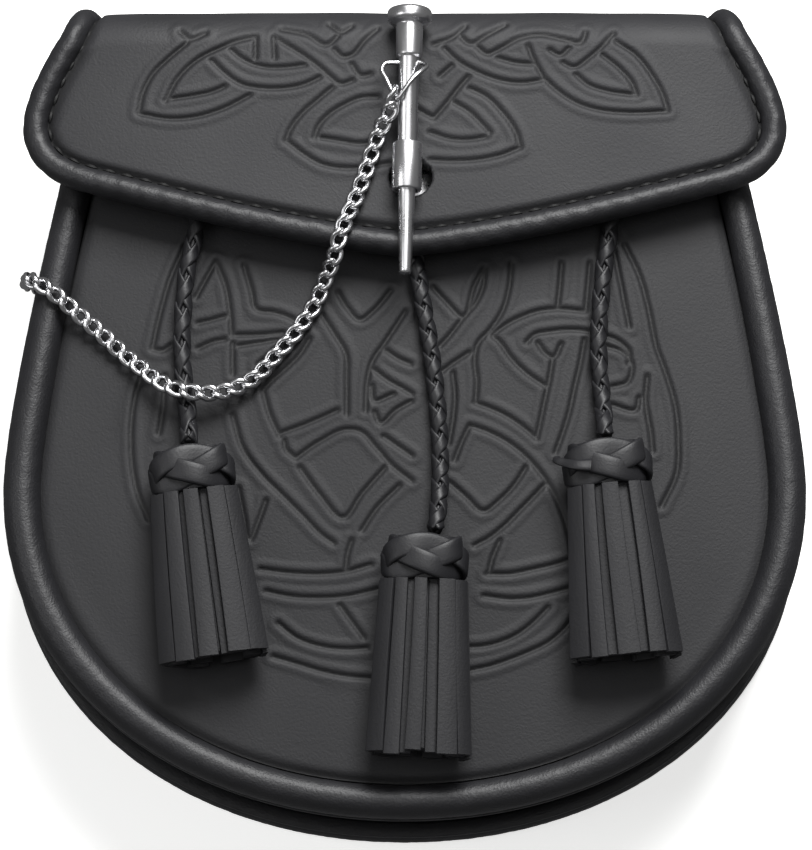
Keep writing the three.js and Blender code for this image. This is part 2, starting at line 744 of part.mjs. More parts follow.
for (const row of tassels) {
  const route = row.cord.map(toPoint);
  const cord = tube(route, tassel.cordRadius, facets.thickSides, facets.cordSteps);
  addPiece(`tassel_cord_${row.side}`, cord, plaitLeather);

  // A short leather block on the panel, which the cord is drawn into.
  const start = route[0];
  const heading = start.clone().sub(route[1]).normalize();
  const anchor = new THREE.BoxGeometry(tassel.anchorWidth, tassel.anchorLength, tassel.anchorHeight);
  anchor.translate(0, tassel.anchorLength / 2 + gap, 0);
  const block = addPiece(`tassel_anchor_${row.side}`, anchor, plaitLeather);
  block.position.set(start.x, start.y, start.z);
  block.rotation.z = Math.atan2(-heading.x, heading.y);

  // Knot and skirt share the tassel's own frame, with -Y down the skirt.
  const hung = new THREE.Group();
  hung.position.set(row.knotX, row.knotY, row.knotZ);
  hung.rotation.set(row.dip, 0, row.lean, 'ZXY');
  root.add(hung);

  const knotOutline = [new THREE.Vector2(0, -tassel.knotHeight / 2)];
  for (let i = 0; i <= facets.knotUp; i += 1) {
    const rise = i / facets.knotUp;
    const wide = THREE.MathUtils.lerp(tassel.knotEnd, 1, Math.sin(Math.PI * rise));
    const up = (rise - 0.5) * tassel.knotHeight;
    knotOutline.push(new THREE.Vector2((wide * row.knotWidth) / 2, up));
  }
  knotOutline.push(new THREE.Vector2(0, tassel.knotHeight / 2));
  const flatten = tassel.thickness / row.knotWidth;
  const knot = reshape(
    new THREE.LatheGeometry(knotOutline, facets.tasselAround),
    (x, y, z) => new THREE.Vector3(x, y, z * flatten),
  );
  addPiece(`tassel_knot_${row.side}`, knot, plaitLeather, hung);

  const skirt = new THREE.CylinderGeometry(1, 1, 1, facets.tasselAround, facets.skirtUp);
  const skirtGeometry = reshape(skirt, (x, y, z) => {
    const fall = 0.5 - y;
    const half = THREE.MathUtils.lerp(row.skirtTop, row.skirtBottom, fall) / 2;
    const thick = tassel.thickness * THREE.MathUtils.lerp(tassel.skirtTopShare, 1, fall);
    const down = -tassel.knotHeight / 2 - gap - fall * row.skirtLength;
    return new THREE.Vector3(x * half, down, (z * thick) / 2);
  });
  addPiece(`tassel_skirt_${row.side}`, skirtGeometry, leather, hung);
}

// ---------------------------------------------------------------- staple on the left gusset

const stapleTurn = Math.atan2(body.shoulderX - body.mouthX, body.mouthY - body.shoulderY);
const staplePlate = new THREE.BoxGeometry(
  staple.plateThickness,
  staple.plateSize,
  staple.plateSize,
);
const stapleLoop = wireLoop(
  (turn) => new THREE.Vector3(
    -staple.loopOut - staple.loopHalfWidth * Math.cos(turn),
    0,
    staple.loopUp + staple.loopHalfHeight * Math.sin(turn),
  ),
  staple.wire,
  facets.stapleAround,
  facets.stapleSides,
  new THREE.Vector3(0, 1, 0),
);
const stapleSolid = toSolid(staplePlate).add(toSolid(stapleLoop));
const stapleMesh = addPiece('chain_anchor', toGeometry(stapleSolid), nickel);
stapleMesh.position.set(staple.x, staple.y, staple.z);
stapleMesh.rotation.z = -stapleTurn;

export default root;
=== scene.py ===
# Leather sporran pouch lying on its back: embossed front and flap, rolled edges, pin lock on a
# chain and three plaited tassels. Sizes are in millimetres beside each piece and go in as metres.
import math
import bpy
import numpy as np
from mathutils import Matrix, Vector


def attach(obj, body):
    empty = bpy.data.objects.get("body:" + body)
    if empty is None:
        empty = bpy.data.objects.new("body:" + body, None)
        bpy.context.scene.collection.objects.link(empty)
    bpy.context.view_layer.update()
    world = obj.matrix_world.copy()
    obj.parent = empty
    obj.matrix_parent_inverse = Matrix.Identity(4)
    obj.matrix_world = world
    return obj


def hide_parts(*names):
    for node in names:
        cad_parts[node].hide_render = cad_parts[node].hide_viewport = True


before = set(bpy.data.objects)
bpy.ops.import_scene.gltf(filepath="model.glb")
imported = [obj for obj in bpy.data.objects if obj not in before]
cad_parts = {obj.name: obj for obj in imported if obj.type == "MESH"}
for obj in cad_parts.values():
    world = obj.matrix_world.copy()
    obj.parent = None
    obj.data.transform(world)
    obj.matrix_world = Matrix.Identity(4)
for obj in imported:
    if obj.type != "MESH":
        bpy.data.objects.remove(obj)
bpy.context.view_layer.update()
mm = 0.001

cameraView = {
    "aim": (0.3, -3.8, 38),    # point in the middle of the picture
    "elevation": 76,           # degrees above the floor, looking along +Y
    "distance": 1300,
    "lens": 231.8,             # on a 36 mm sensor, along the picture's long side
}


# The camera stands back from its aim along the line of sight.
def placeCamera(view):
    camera = bpy.data.cameras.new("camera")
    camera.lens = view["lens"]
    camera.sensor_width = 36
    camera.clip_start, camera.clip_end = 0.05, 20
    cameraObject = bpy.data.objects.new("camera", camera)
    bpy.context.scene.collection.objects.link(cameraObject)
    turn = math.radians(view["elevation"])
    back = Vector((0, -math.cos(turn), math.sin(turn)))
    cameraObject.location = Vector(view["aim"]) * mm + back * view["distance"] * mm
    cameraObject.rotation_mode = "QUATERNION"
    cameraObject.rotation_quaternion = (-back).to_track_quat("-Z", "Y")
    bpy.context.scene.camera = cameraObject


placeCamera(cameraView)
print("camera placed")

# The same line with its points an equal length apart, by straight steps between the old ones.
def evenly(line, count):
    step = np.linalg.norm(np.diff(line, axis=0), axis=1)
    length = np.concatenate([[0], np.cumsum(step)])
    wanted = np.linspace(0, length[-1], count)
    return np.stack([np.interp(wanted, length, line[:, k]) for k in range(line.shape[1])], -1)


# A smooth line through every point: between two points a cubic that leaves each one with the
# slope across its neighbours, then evened out. A closed line leaves out its repeated last point.
def smoothLine(points, count, closed=False):
    p = np.array(points, float)
    if closed:
        p = np.vstack([p[-3:], p, p[:4]])
    s = np.concatenate([[0], np.cumsum(np.linalg.norm(np.diff(p, axis=0), axis=1))])
    slope = np.gradient(p, s, axis=0)
    low, high = (3, len(p) - 4) if closed else (0, len(p) - 1)
    t = np.linspace(s[low], s[high], 8 * count)
    i = np.clip(np.searchsorted(s, t, side="right") - 1, low, high - 1)
    h = s[i + 1] - s[i]
    u = (t - s[i]) / h
    u, h = u[:, None], h[:, None]
    line = (
        (2 * u**3 - 3 * u**2 + 1) * p[i]
        + (u**3 - 2 * u**2 + u) * h * slope[i]
        + (3 * u**2 - 2 * u**3) * p[i + 1]
        + (u**3 - u**2) * h * slope[i + 1]
    )
    return evenly(line, count + 1)[:-1] if closed else evenly(line, count)


# Every vector over its own length.
def unit(v):
    return v / np.maximum(np.linalg.norm(v, axis=-1, keepdims=True), 1e-12)


# Three directions at each point of a line: along it, across it, and up, which is as near to the
# wanted up as a right angle to the line allows.
def directions(line, up, closed=False):
    if closed:
        along = unit(np.roll(line, -1, axis=0) - np.roll(line, 1, axis=0))
    else:
        along = unit(np.gradient(line, axis=0))
    across = unit(np.cross(along, up))
    return along, across, np.cross(across, along)


# A section carried along a line: each ring is the line's point plus the section's two offsets
# along across and up. The section is one ring of offsets, or one ring for each point.
def sweep(line, section, up=(0, 0, 1), closed=False):
    along, across, top = directions(line, up, closed)
    section = np.asarray(section, float)
    if section.ndim == 2:
        section = section[None]
    return line[:, None] + across[:, None] * section[..., :1] + top[:, None] * section[..., 1:]


# Round or rounded-square ring of offsets: cosine and sine, each raised to a power below 1 for
# flatter sides.
def ring(halfWidth, halfHeight, sides, power=1.0):
    a = np.arange(sides) * 2 * math.pi / sides
    c, s = np.cos(a), np.sin(a)
    return np.stack([
        halfWidth * np.sign(c) * np.abs(c) ** power,
        halfHeight * np.sign(s) * np.abs(s) ** power,
    ], -1)


# Rings of a turned shape round +Y: radius times cosine and sine of the turn at each height.
def turned(rows, segments):
    at, radius = np.array(rows, float).T
    a = np.arange(segments) * 2 * math.pi / segments
    return np.stack([
        radius[:, None] * np.cos(a),
        np.repeat(at[:, None], segments, 1),
        radius[:, None] * np.sin(a),
    ], -1)


# Corner numbers of a grid's four-sided faces: each point, the next in its row, and the two after
# them in the next row, with the last joined to the first where the grid wraps.
def quads(rows, columns, wrapRows, wrapColumns):
    r = np.arange(rows if wrapRows else rows - 1)[:, None]
    c = np.arange(columns if wrapColumns else columns - 1)[None]
    r2, c2 = (r + 1) % rows, (c + 1) % columns
    corners = [r * columns + c, r * columns + c2, r2 * columns + c2, r2 * columns + c]
    return np.stack(corners, -1).reshape(-1, 4)


# Turns a closed shape's faces outwards: the volume summed from its corners must be above 0.
def facingOut(verts, faces):
    volume = 0
    for f in faces:
        for k in range(1, f.shape[1] - 1):
            a, b, c = verts[f[:, 0]], verts[f[:, k]], verts[f[:, k + 1]]
            volume += np.einsum("ij,ij->", a, np.cross(b, c))
    return verts, [f[:, ::-1] for f in faces] if volume < 0 else faces


# Closed shapes from rings of points, rings x around x 3, or many alike with the copies first.
# Open ends get a middle point and a fan.
def tube(rings, closed=False):
    rings = rings if rings.ndim == 4 else rings[None]
    copies, rows, columns = rings.shape[:3]
    verts = rings.reshape(copies, -1, 3)
    faces = [quads(rows, columns, closed, True)]
    if not closed:
        ends = rings[:, [0, -1]].mean(2)
        verts = np.concatenate([verts, ends], 1)
        c = np.arange(columns)
        c2, n, last = (c + 1) % columns, rows * columns, (rows - 1) * columns
        faces.append(np.concatenate([
            np.stack([np.full(columns, n), c2, c], -1),
            np.stack([np.full(columns, n + 1), last + c, last + c2], -1),
        ]))
    shift = (np.arange(copies) * verts.shape[1])[:, None, None]
    faces = [(f[None] + shift).reshape(-1, f.shape[1]) for f in faces]
    return facingOut(verts.reshape(-1, 3), faces)


# Row numbers of a grid's rim, once round.
def rim(rows, columns):
    n = np.arange(rows * columns).reshape(rows, columns)
    return np.concatenate([n[0, :-1], n[:-1, -1], n[-1, :0:-1], n[:0:-1, 0]])


# Closed slab between two grids of the same size: both faces, joined round the rim.
def slab(top, bottom):
    rows, columns = top.shape[:2]
    verts = np.concatenate([top.reshape(-1, 3), bottom.reshape(-1, 3)])
    n = rows * columns
    face = quads(rows, columns, False, False)
    edge = rim(rows, columns)
    edge2 = np.roll(edge, -1)
    side = np.stack([edge, edge + n, edge2 + n, edge2], -1)
    return facingOut(verts, [np.concatenate([face, face[:, ::-1] + n, side])])


# Closed slab with a fine top and a plain underside: rings that shrink towards the middle.
def lidded(top, thickness, dome, rings=4):
    rows, columns = top.shape[:2]
    edge = rim(rows, columns)
    loop = top.reshape(-1, 3)[edge]
    middle = loop.mean(0)
    share = np.linspace(1, 0.1, rings)[:, None, None]
    under = middle + (loop - middle)[None] * share
    under[..., 2] += dome * (1 - share[..., 0] ** 2) - thickness
    n, m = rows * columns, len(edge)
    verts = np.concatenate([top.reshape(-1, 3), under.reshape(-1, 3), under[-1].mean(0)[None]])
    edge2, c = np.roll(edge, -1), np.arange(m)
    c2 = (c + 1) % m
    side = np.stack([edge, n + c, n + c2, edge2], -1)
    inner = quads(rings, m, False, True) + n
    last = n + (rings - 1) * m
    fan = np.stack([last + c, np.full(m, len(verts) - 1), last + c2], -1)
    face = quads(rows, columns, False, False)
    return facingOut(verts, [np.concatenate([face, side, inner]), fan])


# How far each x, y point is from a drawn line: the least distance to its straight steps. Only
# points near the line's own box are worked out, the rest stay at the reach.
def distanceTo(line, x, y, reach, best=None):
    best = np.full(x.shape, float(reach)) if best is None else best
    low, high = line.min(0) - reach, line.max(0) + reach
    near = (x > low[0]) & (x < high[0]) & (y > low[1]) & (y < high[1])
    p = np.stack([x[near], y[near]], -1)[:, None]
    a, b = line[:-1][None], line[1:][None]
    along = b - a
    t = np.clip(((p - a) * along).sum(-1) / np.maximum((along**2).sum(-1), 1e-12), 0, 1)
    d = np.linalg.norm(p - a - t[..., None] * along, axis=-1).min(1)
    best[near] = np.minimum(best[near], d)
    return best


# Low smooth unevenness: sines of several lengths and headings added up, between about -1 and 1.
def unevenness(x, y, size, seed):
    draw = np.random.default_rng(seed)
    total = np.zeros(np.broadcast(x, y).shape)
    for turn, phase, stretch in draw.uniform((0, 0, 0.6), (6.28, 6.28, 1.8), (7, 3)):
        total += np.sin((x * math.cos(turn) + y * math.sin(turn)) * 6.28 / size * stretch + phase)
    return total / 4


# Puts closed shapes, in millimetres, into one mesh and links it to the pouch.
def addPiece(name, shapes, material, replaced, crease=35, tints=None, thickness=None):
    count, verts, faces = 0, [], []
    for shapeVerts, shapeFaces in shapes:
        verts.append(shapeVerts)
        faces += [f + count for f in shapeFaces]
        count += len(shapeVerts)
    mesh = bpy.data.meshes.new(name)
    mesh.vertices.add(count)
    mesh.vertices.foreach_set("co", (np.concatenate(verts) * mm).astype(np.float32).ravel())
    corners = np.concatenate([f.ravel() for f in faces]).astype(np.int32)
    sizes = np.concatenate([np.full(len(f), f.shape[1]) for f in faces])
    mesh.loops.add(len(corners))
    mesh.loops.foreach_set("vertex_index", corners)
    mesh.polygons.add(len(sizes))
    starts = np.concatenate([[0], np.cumsum(sizes)[:-1]]).astype(np.int32)
    mesh.polygons.foreach_set("loop_start", starts)
    mesh.polygons.foreach_set("use_smooth", np.ones(len(sizes), bool))
    mesh.update(calc_edges=True)
    mesh.validate()
    if crease < 180:
        mesh.set_sharp_from_angle(angle=math.radians(crease))
    for tint, values in (tints or {}).items():
        attribute = mesh.attributes.new(tint, "FLOAT", "POINT")
        attribute.data.foreach_set("value", values.astype(np.float32).ravel())
    piece = bpy.data.objects.new(name, mesh)
    bpy.context.scene.collection.objects.link(piece)
    mesh.materials.append(material)
    if thickness:
        wall = piece.modifiers.new("wall", "SOLIDIFY")
        wall.thickness, wall.offset = thickness * mm, -1
    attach(piece, "root")
    if replaced:
        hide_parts(*replaced)
    return piece


# A hex colour as linear red, green, blue and alpha.
def colour(code):
    parts = [int(code[i:i + 2], 16) / 255 for i in (1, 3, 5)]
    return [p / 12.92 if p <= 0.04045 else ((p + 0.055) / 1.055) ** 2.4 for p in parts] + [1]


# Adds one node: settings are its own properties, sockets are numbers, colours or other outputs.
def addNode(tree, kind, sockets=None, **settings):
    node = tree.nodes.new("ShaderNode" + kind)
    for key, value in settings.items():
        setattr(node, key, value)
    for key, value in (sockets or {}).items():
        if isinstance(value, bpy.types.NodeSocket):
            tree.links.new(value, node.inputs[key])
        else:
            node.inputs[key].default_value = value
    return node


# A material whose even values go straight on the shader's own sockets.
def newMaterial(name, **uniform):
    material = bpy.data.materials.new(name)
    material.use_nodes = True
    tree = material.node_tree
    shader = tree.nodes["Principled BSDF"]
    for key, value in uniform.items():
        shader.inputs[key.replace("_", " ")].default_value = value
    return material, tree, shader


# Leather: rounded grain cells and finer pores as bump, with slow changes of colour and gloss. The
# cells are grain mm across, the pores about 0.4 mm, and the cloudy tone about 26 mm. Creases are
# 2 to 11 mm apart, from their own scale. Bump is the height in mm. When asked, a point attribute
# darkens the colour towards near black: painted shade in pressed grooves and along seams.
def leather(name, low, high, gloss, grain=0.6, bump=0.05, wrinkle=None, paintedShade=False):
    material, tree, shader = newMaterial(name, Specular_IOR_Level=0.4)
    place = addNode(tree, "TexCoord").outputs["Object"]
    warp = addNode(tree, "TexNoise", {"Vector": place, "Scale": 500, "Detail": 2})
    bent = addNode(tree, "MixRGB", {0: 0.0012, 1: place, 2: warp.outputs["Color"]},
                   blend_type="ADD")
    cells = addNode(tree, "TexVoronoi", {"Vector": bent.outputs[0], "Scale": 1000 / grain},
                    feature="SMOOTH_F1")
    pores = addNode(tree, "TexNoise", {"Vector": place, "Scale": 2600, "Detail": 3})
    slow = addNode(tree, "TexNoise", {"Vector": place, "Scale": 38, "Detail": 5, "Roughness": 0.6})
    height = addNode(tree, "Math", {0: cells.outputs["Distance"], 1: -1.0}, operation="MULTIPLY")
    height = addNode(tree, "Math", {0: pores.outputs["Fac"], 1: 0.5, 2: height.outputs[0]},
                     operation="MULTIPLY_ADD")
    if wrinkle:
        stretched = addNode(tree, "Mapping", {"Vector": place, "Scale": wrinkle})
        folds = addNode(tree, "TexNoise", {"Vector": stretched.outputs[0], "Scale": 1,
                                           "Detail": 2})
        height = addNode(tree, "Math", {0: folds.outputs["Fac"], 1: 1.6, 2: height.outputs[0]},
                         operation="MULTIPLY_ADD")
    raised = addNode(tree, "Bump", {"Height": height.outputs[0], "Strength": 1.0,
                                    "Distance": bump * mm})
    tone = addNode(tree, "MixRGB", {0: slow.outputs["Fac"], 1: colour(low), 2: colour(high)})
    shade = tone.outputs[0]
    # Painted shade: the point attribute mixes the colour towards #0c0c0d in pressed grooves and
    # along seams, where shade falls.
    if paintedShade:
        shadeMask = addNode(tree, "Attribute", attribute_name="paintedShade").outputs["Fac"]
        shade = addNode(tree, "MixRGB", {0: shadeMask, 1: shade, 2: colour("#0c0c0d")}).outputs[0]
    rough = addNode(tree, "MapRange", {0: slow.outputs["Fac"], 3: gloss[0], 4: gloss[1]})
    tree.links.new(shade, shader.inputs["Base Color"])
    tree.links.new(rough.outputs[0], shader.inputs["Roughness"])
    tree.links.new(raised.outputs[0], shader.inputs["Normal"])
    return material


# Polished metal: very fine turning lines as bump, 0.2 mm apart on the pin so that they show, and
# faint handling smears about 6 mm across in the gloss.
def metal(name, tone, gloss, lines):
    material, tree, shader = newMaterial(name, Metallic=1.0, Base_Color=colour(tone))
    place = addNode(tree, "TexCoord").outputs["Object"]
    drawn = addNode(tree, "Mapping", {"Vector": place, "Scale": lines})
    marks = addNode(tree, "TexNoise", {"Vector": drawn.outputs[0], "Scale": 1, "Detail": 2})
    smears = addNode(tree, "TexNoise", {"Vector": place, "Scale": 160, "Detail": 4})
    rough = addNode(tree, "MapRange", {0: smears.outputs["Fac"], 3: gloss[0], 4: gloss[1]})
    raised = addNode(tree, "Bump", {"Height": marks.outputs["Fac"], "Strength": 0.6,
                                    "Distance": 0.02 * mm})
    tree.links.new(rough.outputs[0], shader.inputs["Roughness"])
    tree.links.new(raised.outputs[0], shader.inputs["Normal"])
    return material


# Black full-grain cowhide of the body: small close grain with a low, uneven sheen.
bodyLeather = leather("black full-grain cowhide, embossed", "#151517", "#1f1f22", (0.56, 0.7),
                      paintedShade=True)
# The flap's hide is the same but a little greyer and rubbed smoother by the hand.
flapLeather = leather("black full-grain cowhide, pressed and handled", "#1b1b1d", "#262629",
                      (0.54, 0.68), paintedShade=True)
# Thin hide wrapped round a cord and pulled tight: smoother, glossier, with creases across it.
edgeLeather = leather("thin calf rolled over a cord", "#18181a", "#232326", (0.42, 0.54),
                      grain=0.5, bump=0.06, wrinkle=(420, 420, 420))
# Flat lace, waxed and plaited wet, so it dries hard and shiny on the crowns.
plaitLeather = leather("waxed lace, plaited wet", "#161618", "#222225", (0.4, 0.54), grain=0.45,
                       bump=0.03)
# Strips cut from soft hide: matt, with the grain running through.
fringeLeather = leather("soft hide cut in strips", "#161618", "#202023", (0.56, 0.7), grain=0.6,
                        bump=0.05, wrinkle=(500, 90, 500))
# Waxed linen thread: dull black with twisted plies.
thread = leather("waxed linen thread", "#060606", "#0c0c0d", (0.6, 0.75), grain=0.3, bump=0.03)
# Nickel plate over a turned brass pin: mirror-like with the lathe's faint rings left in it.
turnedNickel = metal("nickel plate on turned brass", "#e2e2e4", (0.22, 0.34), (300, 5200, 300))
# Plated wire bent into links: bright, a little duller where the links rub.
wireNickel = metal("nickel-plated steel wire", "#d4d4d6", (0.16, 0.34), (900, 900, 900))
print("materials made")

# Each tassel hangs from a plaited cord; the cord's points run from under the flap to the knot.
tassels = {
    "Left": {
        "knot": (-50.1, -17.4, 48.2), "lean": 0.13, "dip": 0.03, "knotWidth": 20.6,
        "skirtTop": 19.6, "skirtBottom": 24.4, "skirtLength": 40, "plaitTurn": 16.4, "seed": 4,
        "cord": [
            (-47.6, 55.6, 42.4), (-48.4, 51.0, 42.4), (-49.3, 46.0, 42.4), (-50.2, 41.2, 42.5),
            (-51.1, 37.0, 42.6), (-51.9, 32.8, 42.7), (-52.4, 28.0, 42.8), (-52.7, 23.2, 42.8),
            (-52.9, 18.4, 42.9), (-52.9, 13.6, 42.9), (-52.6, 9.0, 42.9), (-52.2, 4.4, 42.9),
            (-51.7, 0.4, 43.4), (-51.2, -3.8, 45.0), (-50.9, -7.4, 46.9), (-50.8, -10.3, 48.0),
        ],
    },
    "Centre": {
        "knot": (4.7, -38.6, 48.0), "lean": -0.03, "dip": 0.05, "knotWidth": 20.8,
        "skirtTop": 19.6, "skirtBottom": 23.4, "skirtLength": 41, "plaitTurn": 12.6, "seed": 9,
        "cord": [
            (1.9, 42.4, 43.3), (2.3, 38.6, 43.3), (2.8, 34.6, 43.4), (3.4, 30.2, 43.6),
            (4.2, 25.2, 43.7), (5.1, 20.0, 43.7), (5.9, 14.9, 43.7), (6.6, 9.8, 43.8),
            (7.2, 4.8, 43.8), (7.7, -0.4, 43.8), (8.1, -5.6, 43.8), (8.3, -10.8, 43.8),
            (8.4, -15.6, 43.9), (8.3, -20.2, 44.5), (8.0, -24.6, 45.6), (7.6, -28.4, 46.8),
            (7.2, -31.4, 47.6),
        ],
    },
    "Right": {
        "knot": (47.6, -15.9, 48.2), "lean": 0.09, "dip": 0.03, "knotWidth": 21.4,
        "skirtTop": 19.0, "skirtBottom": 25.0, "skirtLength": 41, "plaitTurn": 14.8, "seed": 6,
        "cord": [
            (50.0, 55.6, 42.4), (49.6, 51.0, 42.4), (49.2, 46.0, 42.4), (48.6, 41.0, 42.5),
            (47.9, 36.6, 42.6), (47.3, 32.0, 42.7), (46.8, 27.2, 42.9), (46.4, 22.4, 42.9),
            (46.1, 17.6, 43.0), (46.0, 13.0, 43.0), (46.2, 8.6, 43.0), (46.5, 4.2, 43.1),
            (46.8, 0.8, 43.8), (47.0, -2.8, 45.2), (47.1, -6.0, 46.9), (47.2, -8.8, 47.9),
        ],
    },
}
plait = {"diameter": 4.2, "laceWidth": 2.9, "laceThickness": 1.15, "weave": 0.3, "sides": 12}
knot = {"height": 12, "thickness": 13, "laceWidth": 5.3, "laceThickness": 1.5, "swing": 3.0,
        "bights": 4, "leads": 3, "weave": 0.62, "puff": 0.35, "taper": 0.16, "coreIn": 1.4}
skirt = {"strips": 11, "inner": 8, "thickness": 1.5, "gap": 0.5, "fold": 0.9, "flatness": 0.72,
         "coreInX": 3.4, "coreInZ": 3.0}


# Four-strand round plait: two laces wind one way and two the other round the cord's line. Each
# one's radius rises and falls with the cosine of twice its turn, the other pair's the opposite
# way, so that they pass over and under in turn.
def plaitedCord(line, turnLength, p):
    s = np.concatenate([[0], np.cumsum(np.linalg.norm(np.diff(line, axis=0), axis=1))])
    along, across, top = directions(line, (0, 0, 1))
    middle = p["diameter"] / 2 - p["laceThickness"] / 2 - p["weave"] * 0.8
    section = ring(p["laceWidth"] / 2, p["laceThickness"] / 2, p["sides"], 0.75)
    shapes = []
    for way, start in ((1, 0), (1, math.pi), (-1, 0), (-1, math.pi)):
        turn = way * s / turnLength * 2 * math.pi + start
        radius = middle + way * p["weave"] * np.cos(2 * s / turnLength * 2 * math.pi)
        out = across * np.cos(turn)[:, None] + top * np.sin(turn)[:, None]
        shapes.append(tube(sweep(line + out * radius[:, None], section, out)))
    shapes.append(tube(sweep(line, ring(middle * 0.8, middle * 0.8, 8))))
    return shapes


# The tassel's own frame turned and put in its place: dip about X, then lean about Z.
def placed(points, t):
    cd, sd, cl, sl = (f(t[k]) for k in ("dip", "lean") for f in (math.cos, math.sin))
    dip = np.array([[1, 0, 0], [0, cd, -sd], [0, sd, cd]])
    lean = np.array([[cl, -sl, 0], [sl, cl, 0], [0, 0, 1]])
    return points @ (lean @ dip).T + np.array(t["knot"])


# Knot of one flat lace, three times round with four bights: its height is a cosine of the turn,
# its radius rises and falls twice as fast, so that each pass goes over one and under the next.
def wovenKnot(t, k):
    u = np.arange(420) * 2 * math.pi / 420
    turn, wave = k["leads"] * u, k["bights"] * u
    level = k["swing"] * np.cos(wave)
    bulge = 1 - k["taper"] * (level / k["swing"]) ** 2
    over = k["weave"] * np.sin(2 * wave)
    rx = (t["knotWidth"] / 2 + k["puff"] - k["laceThickness"] / 2 - k["weave"]) * bulge
    rz = (k["thickness"] / 2 - k["laceThickness"] / 2 - k["weave"]) * bulge
    out = unit(np.stack([np.cos(turn) / rx, 0 * turn, np.sin(turn) / rz], -1))
    line = np.stack([rx * np.cos(turn), level, rz * np.sin(turn)], -1) + out * over[:, None]
    lace = sweep(line, ring(k["laceWidth"] / 2, k["laceThickness"] / 2, 14, 0.6), out, True)
    rows = [(-k["height"] / 2 + 0.6, 0.6), (-5, 0.86), (-2.5, 0.93), (0, 0.95), (2.5, 0.93),
            (5, 0.86), (k["height"] / 2 - 0.6, 0.6)]
    coreX, coreZ = t["knotWidth"] / 2 - k["coreIn"], k["thickness"] / 2 - k["coreIn"]
    core = turned(rows, 40) * [coreX, 1, coreZ]
    return [tube(placed(lace, t), True), tube(placed(core, t))]


# End of the lace, pulled out of the knot's side and curled.
def lacePoint(t):
    line = smoothLine([(-4, -1.0, 5.8), (-7.5, -0.5, 5.2), (-10.2, 0.6, 3.6), (-12.0, 1.7, 2.4),
                       (-11.6, 2.6, 1.2)], 24)
    taper = np.linspace(1, 0.45, 24)[:, None, None]
    return tube(placed(sweep(line, ring(1.7, 0.6, 10, 0.7) * taper, (-0.3, 0.4, 1)), t))


# Skirt of long strips side by side round an oval that widens downwards. Each strip is a flat
# section carried down its own line, with its own small drift, twist, lift and length.
def fringe(t, f):
    draw = np.random.default_rng(t["seed"])
    shapes = []
    fall = np.linspace(0, 1, 16)[:, None]
    for layer, count in ((0, f["strips"]), (1, f["inner"])):
        turns = (np.arange(count) + 0.5 * layer + draw.uniform(-0.12, 0.12, count)) / count
        widths = 1 + draw.uniform(-0.16, 0.16, count)
        for n in range(count):
            drift, lift, twist, short = draw.uniform((-1, -0.2, -0.12, 0), (1, 0.5, 0.12, 1.3))
            half = (t["skirtTop"] + (t["skirtBottom"] - t["skirtTop"]) * fall) / 2
            deep = knot["thickness"] * (0.8 + 0.2 * fall) / 2
            shrink = f["thickness"] * (0.5 + 1.3 * layer)
            half, deep = half - shrink, deep - shrink
            angle = turns[n] * 2 * math.pi + 0.05 * drift * fall**2 + math.pi / 2
            cosine, sine = np.cos(angle), np.sin(angle)
            x = half * np.sign(cosine) * np.abs(cosine) ** (0.5 + f["flatness"] / 2)
            z = deep * np.sign(sine) * np.abs(sine) ** f["flatness"]
            out = unit(np.concatenate([cosine / half, 0 * angle, sine / deep * 1.5], 1))
            down = -knot["height"] / 2 + 0.7 - fall * (t["skirtLength"] + 0.7 - short)
            line = np.concatenate([x, down, z], 1)
            line = line + out * lift * np.sin(fall * 3.1) * f["fold"]
            around = math.pi * (half + deep)[:, 0] * 1.06
            width = (around / count * widths[n] - f["gap"])[:, None, None] / 2
            flat = ring(1, 1, 12, 0.32)[None] * np.concatenate(
                [width, np.full_like(width, f["thickness"] / 2)], 2)
            shapes.append(tube(placed(sweep(line, flat, out + [0.0, 0, twist]), t)))
    rows = [(-5, 0.75), (-12, 0.82), (-30, 0.95), (-knot["height"] / 2 - t["skirtLength"] + 2, 1)]
    coreX, coreZ = t["skirtTop"] / 2 - f["coreInX"], knot["thickness"] / 2 - f["coreInZ"]
    core = turned(rows, 24) * [coreX, 1, coreZ]
    return shapes + [tube(placed(core, t))]


# Leather block that the cord is drawn into, out of sight under the flap.
def anchorBlock(t):
    start, after = (np.array(p) for p in t["cord"][:2])
    heading = unit(start - after)
    line = start + heading * np.linspace(0.3, 5.3, 9)[:, None]
    size = np.array([0.86, 0.97, 1, 1, 1, 1, 1, 0.97, 0.86])[:, None, None]
    return tube(sweep(line, ring(3.5, 1.6, 24, 0.4) * size))


# One tassel: its cord, knot, skirt and the block that holds the cord's upper end.
def makeTassel(name, t):
    route = np.array(t["cord"])
    line = smoothLine(route, 150)
    low = name.lower()
    cord = addPiece("tasselCord" + name, plaitedCord(line, t["plaitTurn"], plait), plaitLeather,
                    ["tassel_cord_" + low], 180)
    shapes = wovenKnot(t, knot)
    if name == "Right":
        shapes.append(lacePoint(t))
    knotPiece = addPiece("tasselKnot" + name, shapes, plaitLeather,
                         ["tassel_knot_" + low], 60)
    skirtPiece = addPiece("tasselSkirt" + name, fringe(t, skirt), fringeLeather,
                          ["tassel_skirt_" + low], 40)
    addPiece("tasselAnchor" + name, [anchorBlock(t)], plaitLeather,
             ["tassel_anchor_" + low])


for tasselName, tassel in tassels.items():
    makeTassel(tasselName, tassel)

# Outline of the body, half of it from the mouth down, with the same numbers as the solid frame.
outline = {
    "mouth": (76, 88), "shoulder": (83.1, 54.7), "halfWidth": 95.2, "widestY": -19.4,
    "sideControlY": -2.1, "bottomY": -98.4, "roundness": 0.575,
}


